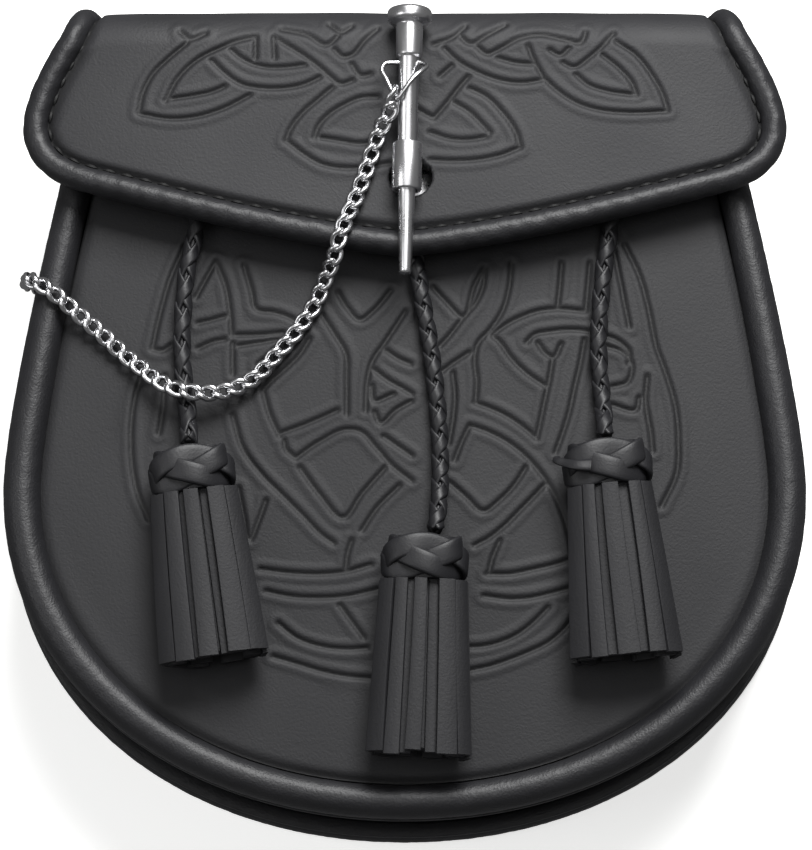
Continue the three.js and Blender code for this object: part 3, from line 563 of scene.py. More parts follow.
# Straight from mouth to shoulder, a quadratic curve to the widest place and a cubic to the middle
# of the bottom, each a sum of its control points weighted by powers of t and 1 - t.
def rightSide(o, count=400):
    t = np.linspace(0, 1, count)[:, None]
    wide, deep = o["halfWidth"], o["bottomY"]
    a, b = np.array(o["mouth"], float), np.array(o["shoulder"], float)
    c, d = np.array([wide, o["sideControlY"]]), np.array([wide, o["widestY"]])
    e = np.array([wide, o["widestY"] + (deep - o["widestY"]) * o["roundness"]])
    f, g = np.array([wide * o["roundness"], deep]), np.array([0, deep])
    straight = a + (b - a) * t
    upper = (1 - t) ** 2 * b + 2 * t * (1 - t) * c + t**2 * d
    lower = (1 - t) ** 3 * d + 3 * t * (1 - t) ** 2 * e + 3 * t**2 * (1 - t) * f + t**3 * g
    return evenly(np.concatenate([straight[:-1], upper[:-1], lower]), 2000)


side = rightSide(outline)
sideDown = unit(np.gradient(side, axis=0))


# Point of the whole U at t from 0 (right mouth) to 1 (left mouth), moved in square to the edge.
def outlineAt(t, inset):
    t = np.asarray(t, float)
    along = np.where(t > 0.5, 2 - 2 * t, 2 * t) * (len(side) - 1)
    n = np.arange(len(side))
    x = np.interp(along, n, side[:, 0]) + np.interp(along, n, sideDown[:, 1]) * inset
    y = np.interp(along, n, side[:, 1]) - np.interp(along, n, sideDown[:, 0]) * inset
    x = np.where(np.abs(t - 0.5) < 1e-9, 0, x)
    return np.stack([np.where(t > 0.5, -x, x), y], -1)


crown = {"reachX": 87, "reachDown": 90, "reachUp": 180}


# Rise of a panel over its edges: 1 less the squares of x and y over their reaches.
def domeAt(x, y):
    reachY = np.where(y < 0, crown["reachDown"], crown["reachUp"])
    return np.maximum(0, 1 - (x / crown["reachX"]) ** 2 - (y / reachY) ** 2)


# Knotwork is pressed in along cut lines, drawn as x, y points.
groove = {"depth": 0.52, "width": 0.56, "pillow": 0.18, "reach": 2.8}

panelLines = [
    [(-45.1, 36), (-42.7, 29.6), (-41.7, 23.6), (-41.2, 17.7)],
    [(-45.1, 36), (-47, 32.5), (-49.8, 27.1)],
    [(-49.3, 20.7), (-46.2, 21.4), (-42.6, 22.4)],
    [(-38.4, 35), (-36.5, 28.1), (-35.5, 24.1), (-31, 23.2), (-27.4, 21.9), (-24.5, 19.9)],
    [(-49.2, 14.5), (-45.9, 16), (-42.6, 16.7)],
    [(-40.2, 17.7), (-35, 17.7), (-28.8, 18.2)],
    [(-40.9, 15.8), (-40.9, 12.3), (-40.8, 8.1)],
    [(-39.7, 15), (-34.5, 15.8), (-29, 16.3), (-31.6, 13.3), (-34.9, 10.4)],
    [(-22.6, 16.7), (-25, 12.8), (-28.3, 9.4), (-31.6, 6.4), (-33.7, 4)],
    [(-33.5, 3.5), (-32.2, -1.4), (-29.6, -7.3)],
    [(-40.8, -1.9), (-38.3, -10.2), (-33.8, -16.5), (-29, -21.4), (-23.8, -26.7),
     (-19.6, -31.1), (-16.7, -33.2)],
    [(-29.4, -6.5), (-23.5, -4.3), (-15.9, -0.9)],
    [(-19.8, 22.7), (-16.9, 18), (-14, 12.8), (-13.8, 6.4), (-13.7, -1.9)],
    [(-16, 28.1), (-13.6, 24.1), (-10.7, 21.2), (-7.4, 23.6), (-3.3, 28.6)],
    [(0.2, 23.4), (-4.5, 16), (-7.8, 10.8), (-9, 5.2), (-9.2, -1.2)],
    [(-4.5, 13.8), (-1.7, 11.8), (1.4, 10.4)],
    [(-7.4, 9.1), (-4, 6.4), (-0.7, 4.5), (1.7, 3)],
    [(-7.8, 5), (-7.4, 1.5), (-2.6, 3)],
    [(1.7, 1.3), (-2.1, -0.9), (-5.9, -4.1), (-7.1, -1.4)],
    [(-25.8, -12.6), (-23, -10.4), (-19.6, -8.2), (-14, -5.6), (-10.7, -6), (-6.9, -9.9),
     (-3.1, -14.3), (1.7, -18.2)],
    [(-28.6, -8.2), (-28.2, -10.2), (-25.8, -12.6)],
    [(-5, -7.3), (-1.4, -9.9), (1.7, -12.1)],
    [(-24.8, -14.8), (-20.1, -21.4), (-14.4, -27.2), (-10.2, -21.4), (-4.5, -14.8)],
    [(-1.2, -19.2), (-6.8, -25), (-10.1, -30.1)],
    [(-12.5, -32.5), (-13.4, -35.4), (-13.9, -39.3)],
    [(-34.1, -39.3), (-27.1, -40.2), (-20, -40.5), (-13.9, -40), (-7.8, -38.3)],
    [(-32.7, -44.6), (-27, -45.8), (-19.5, -46.2), (-13.4, -45.8), (-5.9, -44.1)],
    [(-29.8, -52.2), (-25.6, -55.6), (-19.5, -57.8), (-13.4, -58.5), (-8.7, -58.2)],
    [(-30.9, -60.2), (-25.5, -61.8), (-19.4, -63.7), (-13.4, -64.9), (-7.7, -65.4)],
    [(-15.3, -47.9), (-12.9, -51.3), (-9.6, -55.8)],
    [(-39.4, -19.7), (-38.2, -25.7), (-36.5, -32.5), (-34.7, -28.2), (-32.8, -22.8)],
    [(-52.6, 40.2), (-56, 31.8), (-58.3, 23.2), (-60.1, 14.5)],
    [(-60.1, 14.5), (-57.8, 14), (-55.4, 15.5)],
    [(-62.5, 8.4), (-64.3, 1.5), (-64.9, -8.2), (-64.3, -15.5), (-63.1, -20.9), (-60.4, -27.2)],
    [(-57.2, 7.7), (-57.2, 1), (-58.3, -6.3)],
    [(52.6, 40.2), (56.1, 32.3), (58.3, 23.6), (59.9, 15), (62.4, 7.7), (64.5, -0.9),
     (64.9, -8.2), (64.5, -15.5), (60.7, -24)],
    [(50.1, 38.5), (51.7, 29.8), (53.5, 19.9)],
    [(57.7, 7.7), (57.2, 1.5), (58.3, -5.8), (58.7, -10.7)],
    [(20.7, 17.5), (23.8, 19.9), (27.4, 21.9), (32.1, 23.6), (36.9, 24.1), (42.4, 23.6)],
    [(20.7, 17.5), (22.6, 15.8), (25, 12.3), (28.5, 8.6), (33.5, 5)],
    [(29, 15.8), (30.9, 17.7), (34.5, 18.5), (40.4, 19), (46.4, 18), (51.6, 15.8),
     (53.5, 13.5), (53.2, 10.8)],
    [(31.6, 15.8), (33.3, 13.3), (35.2, 12.1), (37.3, 15.5)],
    [(37.5, 35.5), (36.9, 28.6), (36.4, 24.6)],
    [(35.2, 11.8), (34.2, 5.9), (33.2, 1.5), (32.2, -3.4), (31.3, -7.5)],
    [(44.2, 35.5), (43.6, 28.6), (43.1, 23.6)],
    [(42.8, 16.7), (41.6, 10.1), (40.3, 4.7), (39.1, -0.9), (37.4, -6.5), (35.7, -11.2)],
    [(16.6, 1), (22.5, -1.4), (27.2, -4.3), (31.3, -7.8)],
    [(15.4, -4.6), (20.1, -6.3), (24.9, -9), (29.6, -13.1), (33.1, -17.5), (36.1, -22.8),
     (38.4, -29.6), (39.6, -35.4)],
    [(25.5, 35.5), (25, 29.8), (23.3, 23.6), (20.2, 18.7), (17.4, 15.5), (16.6, 11.8),
     (17.1, 6.4), (16.8, 1)],
    [(18.8, 34), (16.7, 30.1), (13.8, 21.9), (10, 25.6), (6.7, 29.3)],
    [(19.1, 34), (18.8, 30.1), (17.2, 25.9), (13.8, 21.7)],
    [(13.8, 21.7), (10.7, 17.5), (8.3, 14.8)],
    [(15.4, 13.3), (12.1, 11.1), (8.8, 8.6)],
    [(11.4, 8.4), (11.9, 2), (11.4, -3.4), (10.4, -9.2)],
    [(15.4, -4.6), (13.7, -8.2), (11.8, -13.1)],
    [(48, 15), (51.6, 13.8), (53.7, 11.6), (52.9, 6.2), (49.1, 5)],
    [(49.1, 0.6), (55, -0.4), (55.7, 2.5)],
    [(10.6, -18.5), (14.4, -21.9), (18.6, -25.5), (22.4, -22.8), (25.7, -19.4), (28.8, -14.6)],
    [(16.5, -33.7), (20, -31.8), (23.6, -28.9), (27.1, -25.3), (30.2, -22.1), (33.3, -18.7)],
    [(22.4, -32.5), (20.5, -37.3), (19.8, -40.7)],
    [(19.3, -40.5), (24.7, -40.5), (30.6, -39.3), (36.5, -37.8), (39.8, -36.6)],
    [(18.6, -45.8), (24.7, -46.5), (29.4, -46.2), (34.6, -45), (38.8, -43.8)],
    [(14.1, -58), (18.1, -57.8), (22.3, -56.8), (27, -54.6), (30.8, -51.5), (33.8, -48.4)],
    [(15.2, -63.5), (19.9, -62.5), (24.6, -60.9), (29.3, -59), (34, -56.6), (37.6, -53.4),
     (40.4, -49.8)],
]

flapLines = [
    [(-52, 87.9), (-56.2, 84.3), (-60.5, 79.8), (-62.8, 74.8), (-63.5, 70.3)],
    [(-63, 70.1), (-56.1, 68.8), (-49.4, 69.3), (-43.2, 71.3), (-37, 74.6)],
    [(-57.1, 73.3), (-54.7, 78.3), (-50, 83.3), (-44.3, 86.4), (-40, 88.1), (-36.2, 88.9)],
    [(-55.7, 73.8), (-49.9, 74.6), (-45.6, 75.6), (-43, 76.8)],
    [(-46.2, 83.3), (-43.3, 80.3), (-39, 77.3), (-34.2, 76.3), (-28.4, 76.3), (-23.7, 77.3),
     (-20.1, 79.1)],
    [(-41.7, 86.1), (-39.5, 84.1), (-36.1, 82.3), (-33.3, 81.6), (-27.5, 81.6), (-23.7, 82.1)],
    [(-35.7, 88.9), (-35.7, 83.8)],
    [(-31.4, 88.9), (-31.1, 83.8)],
    [(-30.4, 88.4), (-24.7, 84.8), (-20.8, 81.8), (-17.5, 78.8), (-15.5, 77.3), (-12.2, 78.3)],
    [(-29.5, 90.9), (-23.7, 89.6), (-18.4, 87.1), (-16, 89.1)],
    [(-17, 86.1), (-14.6, 84.1), (-12.7, 84.6), (-9.8, 87.9), (-6.5, 90.9)],
    [(-12.7, 82.3), (-10.3, 79.3), (-8.1, 79.8)],
    [(-18, 92.1), (-15.1, 90.1), (-12.7, 91.6)],
    [(-53.9, 90.4), (-51.5, 88.6), (-47.7, 89.9)],
    [(-17, 76.6), (-20.8, 73.3), (-24.6, 69.8), (-27.4, 65.8), (-28.4, 63.1)],
    [(-28.1, 63.1), (-24.1, 59.9), (-19.8, 57.4), (-14.5, 56.4), (-9.3, 56.6), (-3.6, 57.6)],
    [(-21.5, 63.9), (-20.8, 66.3), (-17.9, 69.8), (-14.1, 72.3), (-10.7, 73.8), (-6.4, 74.1)],
    [(-20, 63.9), (-15, 63.1), (-10.7, 62.4), (-6, 63.4)],
    [(-0.2, 73.3), (2.6, 71.3), (6.9, 68.8)],
    [(50.5, 88.1), (55.3, 84.8), (59.1, 79.8), (61.9, 74.3), (62.8, 70.8)],
    [(33.2, 78.8), (37, 75.3), (41.8, 72.3), (47, 70.8), (53.7, 70.3), (62.3, 70.8)],
    [(47.2, 84.8), (51.4, 81.3), (54.3, 77.8), (55.4, 74.8)],
    [(40.9, 79.8), (43.7, 77.3), (48.5, 75.6), (54.2, 74.8)],
    [(37.8, 82.8), (39.9, 81.6), (44.8, 84.6), (50.1, 89.9)],
    [(34.7, 85.9), (37.1, 84.6), (39.5, 86.6)],
    [(17, 86.9), (19.9, 84.8), (22.3, 85.9), (27.5, 88.6), (32.3, 89.4), (38.1, 88.4),
     (42.4, 87.9), (43.4, 90.1)],
    [(22.3, 83.8), (26.6, 82.6), (30.6, 82.3)],
    [(29.5, 86.9), (30.9, 83.3), (33.2, 78.8)],
    [(9.3, 86.4), (12.7, 83.1), (17.9, 80.1), (22.7, 78.3), (28.4, 77.6), (32.5, 78.3)],
    [(6.9, 87.1), (11.7, 88.9), (14.6, 91.4)],
    [(13.4, 88.9), (15.3, 87.4), (19.9, 89.4), (24.2, 91.9)],
    [(8.4, 79.3), (11.5, 82.1)],
    [(15.5, 76.3), (19.3, 74.3), (23.6, 69.8), (26.5, 65.3), (27.6, 61.4)],
    [(6, 58.4), (12.6, 58.1), (18.8, 58.6), (23.1, 59.6), (27.4, 61.4)],
    [(11.7, 72.8), (15.5, 70.3), (18.4, 67.3), (20.3, 65.1)],
    [(6, 65.3), (11.2, 63.6), (15, 63.4), (19.6, 64.1)],
    [(6.9, 68.8), (9.8, 72.3), (13.6, 77.3), (15.3, 79.3)],
]


# Height and painted shade that the lines give: the height is the depth times a bell curve of the
# distance to the nearest line, and a soft swell that is highest a little way off the lines; the
# bell curve itself is the painted shade of the grooves.
def pressed(lines, x, y, g):
    best = np.full(x.shape, g["reach"])
    for points in lines:
        line = smoothLine(points, max(6, 4 * len(points)))
        best = distanceTo(line, x, y, g["reach"], best)
    cut = np.exp(-((best / g["width"]) ** 2))
    swell = np.sin(np.minimum(best / g["reach"], 1) * math.pi)
    return g["pillow"] * swell - g["depth"] * cut, cut


frontPanel = {
    "inset": 8.3, "edgeZ": 38, "dome": 3, "thickness": 2, "step": 0.43, "seam": 0.9,
    "knotTop": 41, "knotBottom": -66.5, "knotShare": 0.79, "waves": 0.08,
}


# Rows follow the U down both sides at once and columns share out each row's width, close
# together where the knotwork is. Height is the edge plus the dome, less the seam's dip.
def makeFrontPanel(p):
    v = np.linspace(0, 0.985, 3000)
    y = outlineAt(v / 2, p["inset"])[:, 1]
    top, low = np.interp([-p["knotTop"], -p["knotBottom"]], -y, v)
    fineRows = int((p["knotTop"] - p["knotBottom"]) / p["step"])
    rows = np.concatenate([
        np.linspace(0, top, 14)[:-1],
        np.interp(np.linspace(-p["knotTop"], -p["knotBottom"], fineRows), -y, v),
        np.linspace(low, 0.985, 30)[1:],
    ])
    columns = int(2 * p["knotShare"] * 80 / p["step"])
    outer = 1 - (1 - p["knotShare"]) * (np.arange(9) / 9) ** 1.6
    share = np.linspace(-p["knotShare"], p["knotShare"], columns)
    share = np.concatenate([-outer, share, outer[::-1]])
    edge = outlineAt(rows / 2, p["inset"])
    x = edge[:, :1] * share
    y = np.repeat(edge[:, 1:], len(share), 1)
    rise, grooveShade = pressed(panelLines, x, y, groove)
    border = outlineAt(np.linspace(0, 1, 161), p["inset"])
    toSeam = distanceTo(border, x, y, 6)
    z = p["edgeZ"] + p["dome"] * domeAt(x, y) + rise
    z += p["waves"] * unevenness(x, y, 42, 3) - p["seam"] * np.exp(-((toSeam / 1.3) ** 2))
    panel = lidded(np.stack([x, y, z], -1), p["thickness"], p["dome"])
    # Painted shade: the colour is darkened in the pressed grooves and along the seam's dip beside
    # the piping.
    tint = np.zeros(len(panel[0]))
    tint[:x.size] = np.maximum(grooveShade * 0.8, 0.7 * np.exp(-((toSeam / 0.9) ** 2))).ravel()
    addPiece("frontPanel", [panel], bodyLeather, ["front_panel"], 88,
             {"paintedShade": tint})


makeFrontPanel(frontPanel)
print("front panel pressed")

backPanel = {"inset": 8.3, "edgeZ": 6.7, "dome": 2, "thickness": 2}


# The same U with even rows and columns, its outside facing down.
def makeBackPanel(p):
    edge = outlineAt(np.linspace(0, 0.985, 90) / 2, p["inset"])
    x = edge[:, :1] * np.linspace(-1, 1, 81)
    y = np.repeat(edge[:, 1:], 81, 1)
    z = p["edgeZ"] + p["dome"] * domeAt(x, y) + 0.1 * unevenness(x, y, 45, 8)
    out = np.stack([x, y, z], -1)
    inside = out + [0, 0, p["thickness"]]
    addPiece("backPanel", [slab(out, inside)], bodyLeather, ["back_panel"])


makeBackPanel(backPanel)

gusset = {"inset": 3.4, "hollow": 4.2, "thickness": 1.8, "lowZ": 7.4, "highZ": 33.8, "crease": 0.8}


# A band round the U that sinks inwards by a sine half-way up, with a fold line pressed along its
# middle and shallow puckers that run up and down.
def makeGusset(g):
    u = np.linspace(0, 1, 261)[:, None]
    v = np.linspace(0, 1, 25)[None]
    pucker = 0.14 * unevenness(u * 560, v * 14, 15, 21) * np.sin(math.pi * v)
    inset = g["inset"] + g["hollow"] * np.sin(math.pi * v) + pucker
    inset = inset + g["crease"] * np.exp(-(((v - 0.5) / 0.05) ** 2))
    z = g["lowZ"] + v * (g["highZ"] - g["lowZ"])
    faces = []
    for depth in (0, g["thickness"]):
        at = outlineAt(np.repeat(u, 25, 1), inset + depth)
        faces.append(np.concatenate([at, np.repeat(z, 261, 0)[..., None]], -1))
    addPiece("gusset", [slab(*faces)], bodyLeather, ["gusset"])


makeGusset(gusset)

seam = {
    "steps": 440, "sides": 28,
    "frontZ": 37, "frontLipZ": 32.1,
    "frontRadius": [3.75, 3.9, 4.45, 4.5, 4.3, 3.95, 3.9],   # from the mouth to the bottom
    "backZ": 4.25, "backLipZ": 8.9, "backRadius": [4.15, 4.15],
    "lipWidth": 3.6, "lipThickness": 1.2, "ripple": 0.05,
}


# A round cord wrapped in leather all round the U: its radius follows the row of widths and
# ripples a little, and its outer side stays on the outline.
def cordedSeam(name, side, node):
    z, lipZ, radii = (seam[side + key] for key in ("Z", "LipZ", "Radius"))
    t = np.linspace(0, 1, seam["steps"])
    radius = np.interp(1 - np.abs(2 * t - 1), np.linspace(0, 1, len(radii)), radii)
    at = outlineAt(t, radius + 0.05)
    line = np.concatenate([at, np.full((len(t), 1), float(z))], 1)
    a = np.arange(seam["sides"])[None] * 2 * math.pi / seam["sides"]
    ripple = seam["ripple"] * unevenness(t[:, None] * 560, a * 2.4, 5, 31)
    size = (radius[:, None] + ripple)[..., None]
    section = np.stack([np.cos(a), np.sin(a)], -1) * size
    lip = np.concatenate([outlineAt(t, 2.1), np.full((len(t), 1), float(lipZ))], 1)
    flat = ring(seam["lipWidth"] / 2, seam["lipThickness"] / 2, 12, 0.5)
    shapes = [tube(sweep(line, section)), tube(sweep(lip, flat))]
    addPiece(name, shapes, edgeLeather, [node], 50)


cordedSeam("frontPiping", "front", "front_piping")
cordedSeam("backPiping", "back", "back_piping")
print("body sewn")

stitch = {"length": 3.1, "radius": 0.48, "rings": 5, "sides": 6}


# Short threads with rounded ends: ellipses carried along each stitch's own direction, thick in
# the middle and sinking into the leather at both ends.
def stitches(points, along, up):
    s = np.linspace(-1, 1, stitch["rings"])
    thick = stitch["radius"] * np.sqrt(1.06 - s**2)
    a = np.arange(stitch["sides"]) * 2 * math.pi / stitch["sides"]
    across = unit(np.cross(along, up))
    up = np.cross(across, along)
    middle = points[:, None] + along[:, None] * (s * stitch["length"] / 2)[:, None]
    middle = middle - up[:, None] * (0.35 * s**2)[:, None]
    out = across[:, None, None] * np.cos(a)[:, None] + up[:, None, None] * np.sin(a)[:, None]
    return tube(middle[:, :, None] + out * thick[None, :, None, None])


beltLoop = {"x": 36, "width": 26, "topY": 30, "length": 56, "thickness": 1.5, "lowZ": 0.4,
            "foot": 9, "slope": 5, "gap": 0.3}


# A strap carried along its own bent line: flat on the back, down over a slope and level again.
def makeBeltLoop(b, name, sign):
    x = sign * b["x"]
    low = b["topY"] - b["length"]
    rise = domeAt(abs(x) + b["width"] / 2, np.array([b["topY"], low]))
    seat = backPanel["edgeZ"] - b["gap"] - b["thickness"] / 2 + backPanel["dome"] * rise
    level = b["lowZ"] + b["thickness"] / 2
    line = np.array([
        [x, b["topY"], seat[0]], [x, b["topY"] - 4, seat[0]],
        [x, b["topY"] - b["foot"], seat[0] - 0.3],
        [x, b["topY"] - b["foot"] - b["slope"], level + 0.3], [x, b["topY"] - 20, level],
        [x, 2, level], [x, low + 20, level], [x, low + b["foot"] + b["slope"], level + 0.3],
        [x, low + b["foot"], seat[1] - 0.3], [x, low + 4, seat[1]], [x, low, seat[1]],
    ])
    strap = sweep(smoothLine(line, 70), ring(b["width"] / 2, b["thickness"] / 2, 20, 0.28))
    places, heading = [], []
    for end, z in ((b["topY"] - 2.2, seat[0]), (b["topY"] - 6.8, seat[0]),
                   (low + 2.2, seat[1]), (low + 6.8, seat[1])):
        across = np.linspace(-10, 10, 6)
        face = z - b["thickness"] / 2
        places.append(np.stack([x + across, np.full(6, end), np.full(6, face)], -1))
        heading.append(np.repeat([[1.0, 0, 0]], 6, 0))
    sewn = stitches(np.concatenate(places), np.concatenate(heading), np.array([0, 0, -1.0]))
    addPiece(name, [tube(strap)], bodyLeather, ["belt_loop_" + name[8:].lower()])
    addPiece(name + "Stitches", [sewn], thread, [])


makeBeltLoop(beltLoop, "beltLoopLeft", -1)
makeBeltLoop(beltLoop, "beltLoopRight", 1)
print("belt loops sewn")

flap = {
    "thickness": 3, "midZ": 48.2, "backMidZ": 4.6, "foldY": 87.2, "frontFold": 9.5, "backFold": 6,
    "tailY": 79, "tipY": 34.7, "corner": (91.5, 68.4), "turn": (76, 51.1), "topX": 84.2,
    "sideControl": (90.9, 75.6), "backX": 74, "tailX": 64, "droop": 4,
    "inset": 5.0, "step": 0.44, "knotShare": 0.8, "knotLow": 0.27, "grooveAt": 6.5,
    "grooveDepth": 1.3, "grooveWidth": 0.9, "waves": 0.16,
}
roll = {"radius": 3.05, "rise": 0.7, "steps": 520, "sides": 28, "ripple": 0.1}
frontFoldLength = math.pi / 2 * flap["frontFold"]
wallY = flap["foldY"] + flap["frontFold"]
wallTopZ = flap["midZ"] - flap["frontFold"]
wallLowZ = flap["backMidZ"] + flap["backFold"]
wallEnd = frontFoldLength + wallTopZ - wallLowZ
backStart = wallEnd + math.pi / 2 * flap["backFold"]
overLength = backStart + wallY - flap["backFold"] - flap["tailY"]


# Middle of the sheet and its outward direction at a length past the fold's start: level, a
# quarter circle, straight down, a smaller quarter circle, then level again underneath.
def foldAt(length):
    length = np.asarray(length, float)
    turn = np.clip(length / flap["frontFold"], 0, math.pi / 2)
    back = np.clip((length - wallEnd) / flap["backFold"], 0, math.pi / 2)
    y = flap["foldY"] + np.minimum(length, 0) + flap["frontFold"] * np.sin(turn)
    y = y - flap["backFold"] * (1 - np.cos(back)) - np.maximum(length - backStart, 0)
    z = wallTopZ + flap["frontFold"] * np.cos(turn) - flap["backFold"] * np.sin(back)
    z = z - np.clip(length - frontFoldLength, 0, wallEnd - frontFoldLength)
    return y, z, np.sin(turn) * np.cos(back), np.cos(turn) - np.sin(back)


# Place on the flap: across, a length past the fold, and off the sheet. The sides hang lower than
# the middle by the fourth power of x.
def flapPoint(x, length, off):
    y, z, outY, outZ = foldAt(length)
    z = z * (1 - flap["droop"] * (x / 90) ** 4 / flap["midZ"])
    return np.stack(np.broadcast_arrays(x, y + off * outY, z + off * outZ), -1)


# Half-width of the outer edge past the fold: it narrows over the top, then down the tail.
def overHalfWidth(length):
    top = flap["topX"] + (flap["backX"] - flap["topX"]) * np.clip(length / wallEnd, 0, 1) ** 0.7
    tail = np.clip((length - wallEnd) / (overLength - wallEnd), 0, 1)
    return top + (flap["tailX"] - flap["backX"]) * tail


# Quadratic curve: two ends and a control point, weighted by powers of t and 1 - t.
def bend(a, b, c, count=200):
    t = np.linspace(0, 1, count)[:, None]
    return (1 - t) ** 2 * np.array(a, float) + 2 * t * (1 - t) * np.array(b) + t**2 * np.array(c)


# Right half of the outer edge, from the tip of the V to the corner.
turnY, cornerX = flap["turn"][1], flap["corner"][0]
flapEdge = evenly(np.concatenate([
    bend((0, flap["tipY"]), (28.8, flap["tipY"] + 2.6), flap["turn"])[:-1],
    bend(flap["turn"], (cornerX, turnY + 4.4), flap["corner"]),
]), 800)
flapEdgeAlong = unit(np.gradient(flapEdge, axis=0))
flapSide = bend(flap["corner"], flap["sideControl"], (flap["topX"], flap["foldY"]))


# Point at a share q of the V edge's length, moved in square to it. The tip stays in the middle.
def onEdge(q, inset):
    n = np.arange(len(flapEdge))
    at = q * (len(flapEdge) - 1)
    x = np.interp(at, n, flapEdge[:, 0]) - np.interp(at, n, flapEdgeAlong[:, 1]) * inset
    y = np.interp(at, n, flapEdge[:, 1]) + np.interp(at, n, flapEdgeAlong[:, 0]) * inset
    return np.where(q < 1e-9, 0, x), y


hole = {"x": 1.4, "y": 54.2, "width": 10.4, "length": 9.8}


# Front rows run straight from the V edge up to the fold, then rows go over the top and down the
# back. Off the sheet: the pressed knotwork, slow waves and a groove along the sewn edge.
def makeFlap(f):
    columns = int(2 * f["knotShare"] * 78 / f["step"])
    outer = 1 - (1 - f["knotShare"]) * (np.arange(9) / 9) ** 1.5
    share = np.concatenate([-outer, np.linspace(-f["knotShare"], f["knotShare"], columns),
                            outer[::-1]])
    q, sign = np.abs(share), np.sign(share)
    lowX, lowY = onEdge(q, f["inset"])
    low = f["knotLow"]
    rise = np.concatenate([np.linspace(0, low, 16)[:-1], np.linspace(low, 1, 76)])[:, None]
    bulge = np.interp(rise, np.linspace(0, 1, 200), flapSide[:, 0])
    bulge = bulge - (cornerX + (f["topX"] - cornerX) * rise)
    highX = q * (f["topX"] - f["inset"])
    x = sign * (lowX + (highX - lowX) * rise + q * bulge)
    length = lowY + (f["foldY"] - lowY) * rise - f["foldY"]
    over = np.concatenate([np.linspace(0, 7, 17)[1:], np.linspace(7, overLength, 34)[1:]])[:, None]
    x = np.concatenate([x, share * (overHalfWidth(over) - f["inset"])])
    length = np.concatenate([length, np.repeat(over, len(share), 1)])
    y = f["foldY"] + length
    lift, grooveShade = pressed(flapLines, x, y, groove)
    right = np.concatenate([flapEdge, flapSide[1:]])
    border = evenly(np.concatenate([right[::-1] * [-1, 1], right[1:]]), 240)
    toEdge = distanceTo(border, x, y, 12)
    beyond = overHalfWidth(np.maximum(length, 0)) - np.abs(x)
    toEdge = np.where(length > 0, np.minimum(beyond, 12), toEdge)
    sewn = np.exp(-(((toEdge - f["grooveAt"]) / f["grooveWidth"]) ** 2))
    sewn = np.where(toEdge < f["grooveAt"], 1, sewn)
    lift = lift - f["grooveDepth"] * sewn + f["waves"] * unevenness(x, y, 38, 5)
    at = flapPoint(x, length, f["thickness"] / 2 + lift)
    keep = quads(*x.shape, False, False)
    middle = np.stack([x, y], -1).reshape(-1, 2)[keep].mean(1)
    away = np.hypot((middle[:, 0] - hole["x"]) / hole["width"] * 2,
                    (middle[:, 1] - hole["y"]) / hole["length"] * 2)
    keep = keep[away > 1]
    points = at.reshape(-1, 3)
    uses = np.bincount(keep.ravel(), minlength=len(points))
    dx, dy = points[:, 0] - hole["x"], y.ravel() - hole["y"]
    ratio = np.hypot(dx / hole["width"] * 2, dy / hole["length"] * 2)
    onRim = (uses > 0) & (uses < 4) & (ratio < 1.25)
    points[onRim, 0] = hole["x"] + dx[onRim] / ratio[onRim]
    points[onRim, 1] = hole["y"] + dy[onRim] / ratio[onRim]
    used = np.flatnonzero(uses)
    number = np.zeros(len(points), int)
    number[used] = np.arange(len(used))
    # Painted shade: the colour is darkened in the pressed grooves and in the sewn groove beside
    # the rolled edge.
    tint = np.maximum(grooveShade * 0.8, 0.85 * sewn * (toEdge > 1)).ravel()[used]
    faces = number[keep]
    a, b, c = points[used][faces[0, 0]], points[used][faces[0, 1]], points[used][faces[0, 2]]
    if np.cross(b - a, c - a)[2] < 0:
        faces = faces[:, ::-1]
    addPiece("flap", [(points[used], [faces])], flapLeather, ["flap"], 88,
             {"paintedShade": tint}, f["thickness"])


makeFlap(flap)

# Line of the rolled edge a given way in from the flap's outer edge, off the sheet: from the back
# fold over the top, down the side, along the V and the same way up again.
def edgeLine(inset, off, start, count):
    length = np.linspace(start, 0, 60)[:-1]
    over = flapPoint(overHalfWidth(length) - inset, length, np.zeros(len(length)))
    side = flapSide[::-1]
    sideLift = off * np.linspace(0, 1, len(side))
    down = flapPoint(side[:, 0] - inset, side[:, 1] - flap["foldY"], sideLift)
    q = np.linspace(1, 0, 300)[1:]
    x, y = onEdge(q, inset)
    low = flapPoint(x, y - flap["foldY"], np.full(len(q), float(off)))
    half = np.concatenate([over, down, low])
    return evenly(np.concatenate([half, half[-2::-1] * [-1, 1, 1]]), count)


# Round roll that ripples where the hide is gathered round its cord.
def makeRoll(r):
    line = edgeLine(r["radius"], r["rise"], wallEnd + 2, r["steps"])
    for _ in range(6):
        line[1:-1] = (line[:-2] + 2 * line[1:-1] + line[2:]) / 4
    a = np.arange(r["sides"])[None] * 2 * math.pi / r["sides"]
    u = np.linspace(0, 1, r["steps"])[:, None]
    size = r["radius"] + r["ripple"] * unevenness(u * 330, a * 2, 4.5, 12)
    size = size * np.minimum(1, 0.35 + np.minimum(u, 1 - u) * 60)
    section = np.stack([np.cos(a), np.sin(a)], -1) * size[..., None]
    addPiece("flapPiping", [tube(sweep(line, section, (0, -0.3, 1)))], edgeLeather,
             ["flap_piping"], 50)


makeRoll(roll)

edgeStitches = {"inset": 6.5, "off": 0.8, "pitch": 4.5}


# Stitches in the groove beside the roll, evenly spaced along it.
def sewFlap(s):
    line = edgeLine(s["inset"], s["off"], frontFoldLength, 3000)
    total = np.linalg.norm(np.diff(line, axis=0), axis=1).sum()
    count = int(total / s["pitch"])
    pick = np.linspace(20, len(line) - 21, count).astype(int)
    along = unit(line[pick + 8] - line[pick - 8])
    up = np.repeat([[0, 0, 1.0]], count, 0)
    up[:, 1] = np.clip((line[pick, 1] - flap["foldY"]) / 6, 0, 2)
    addPiece("flapStitches", [stitches(line[pick], along, unit(up))], thread, [])


sewFlap(edgeStitches)
print("flap folded, rolled and sewn")

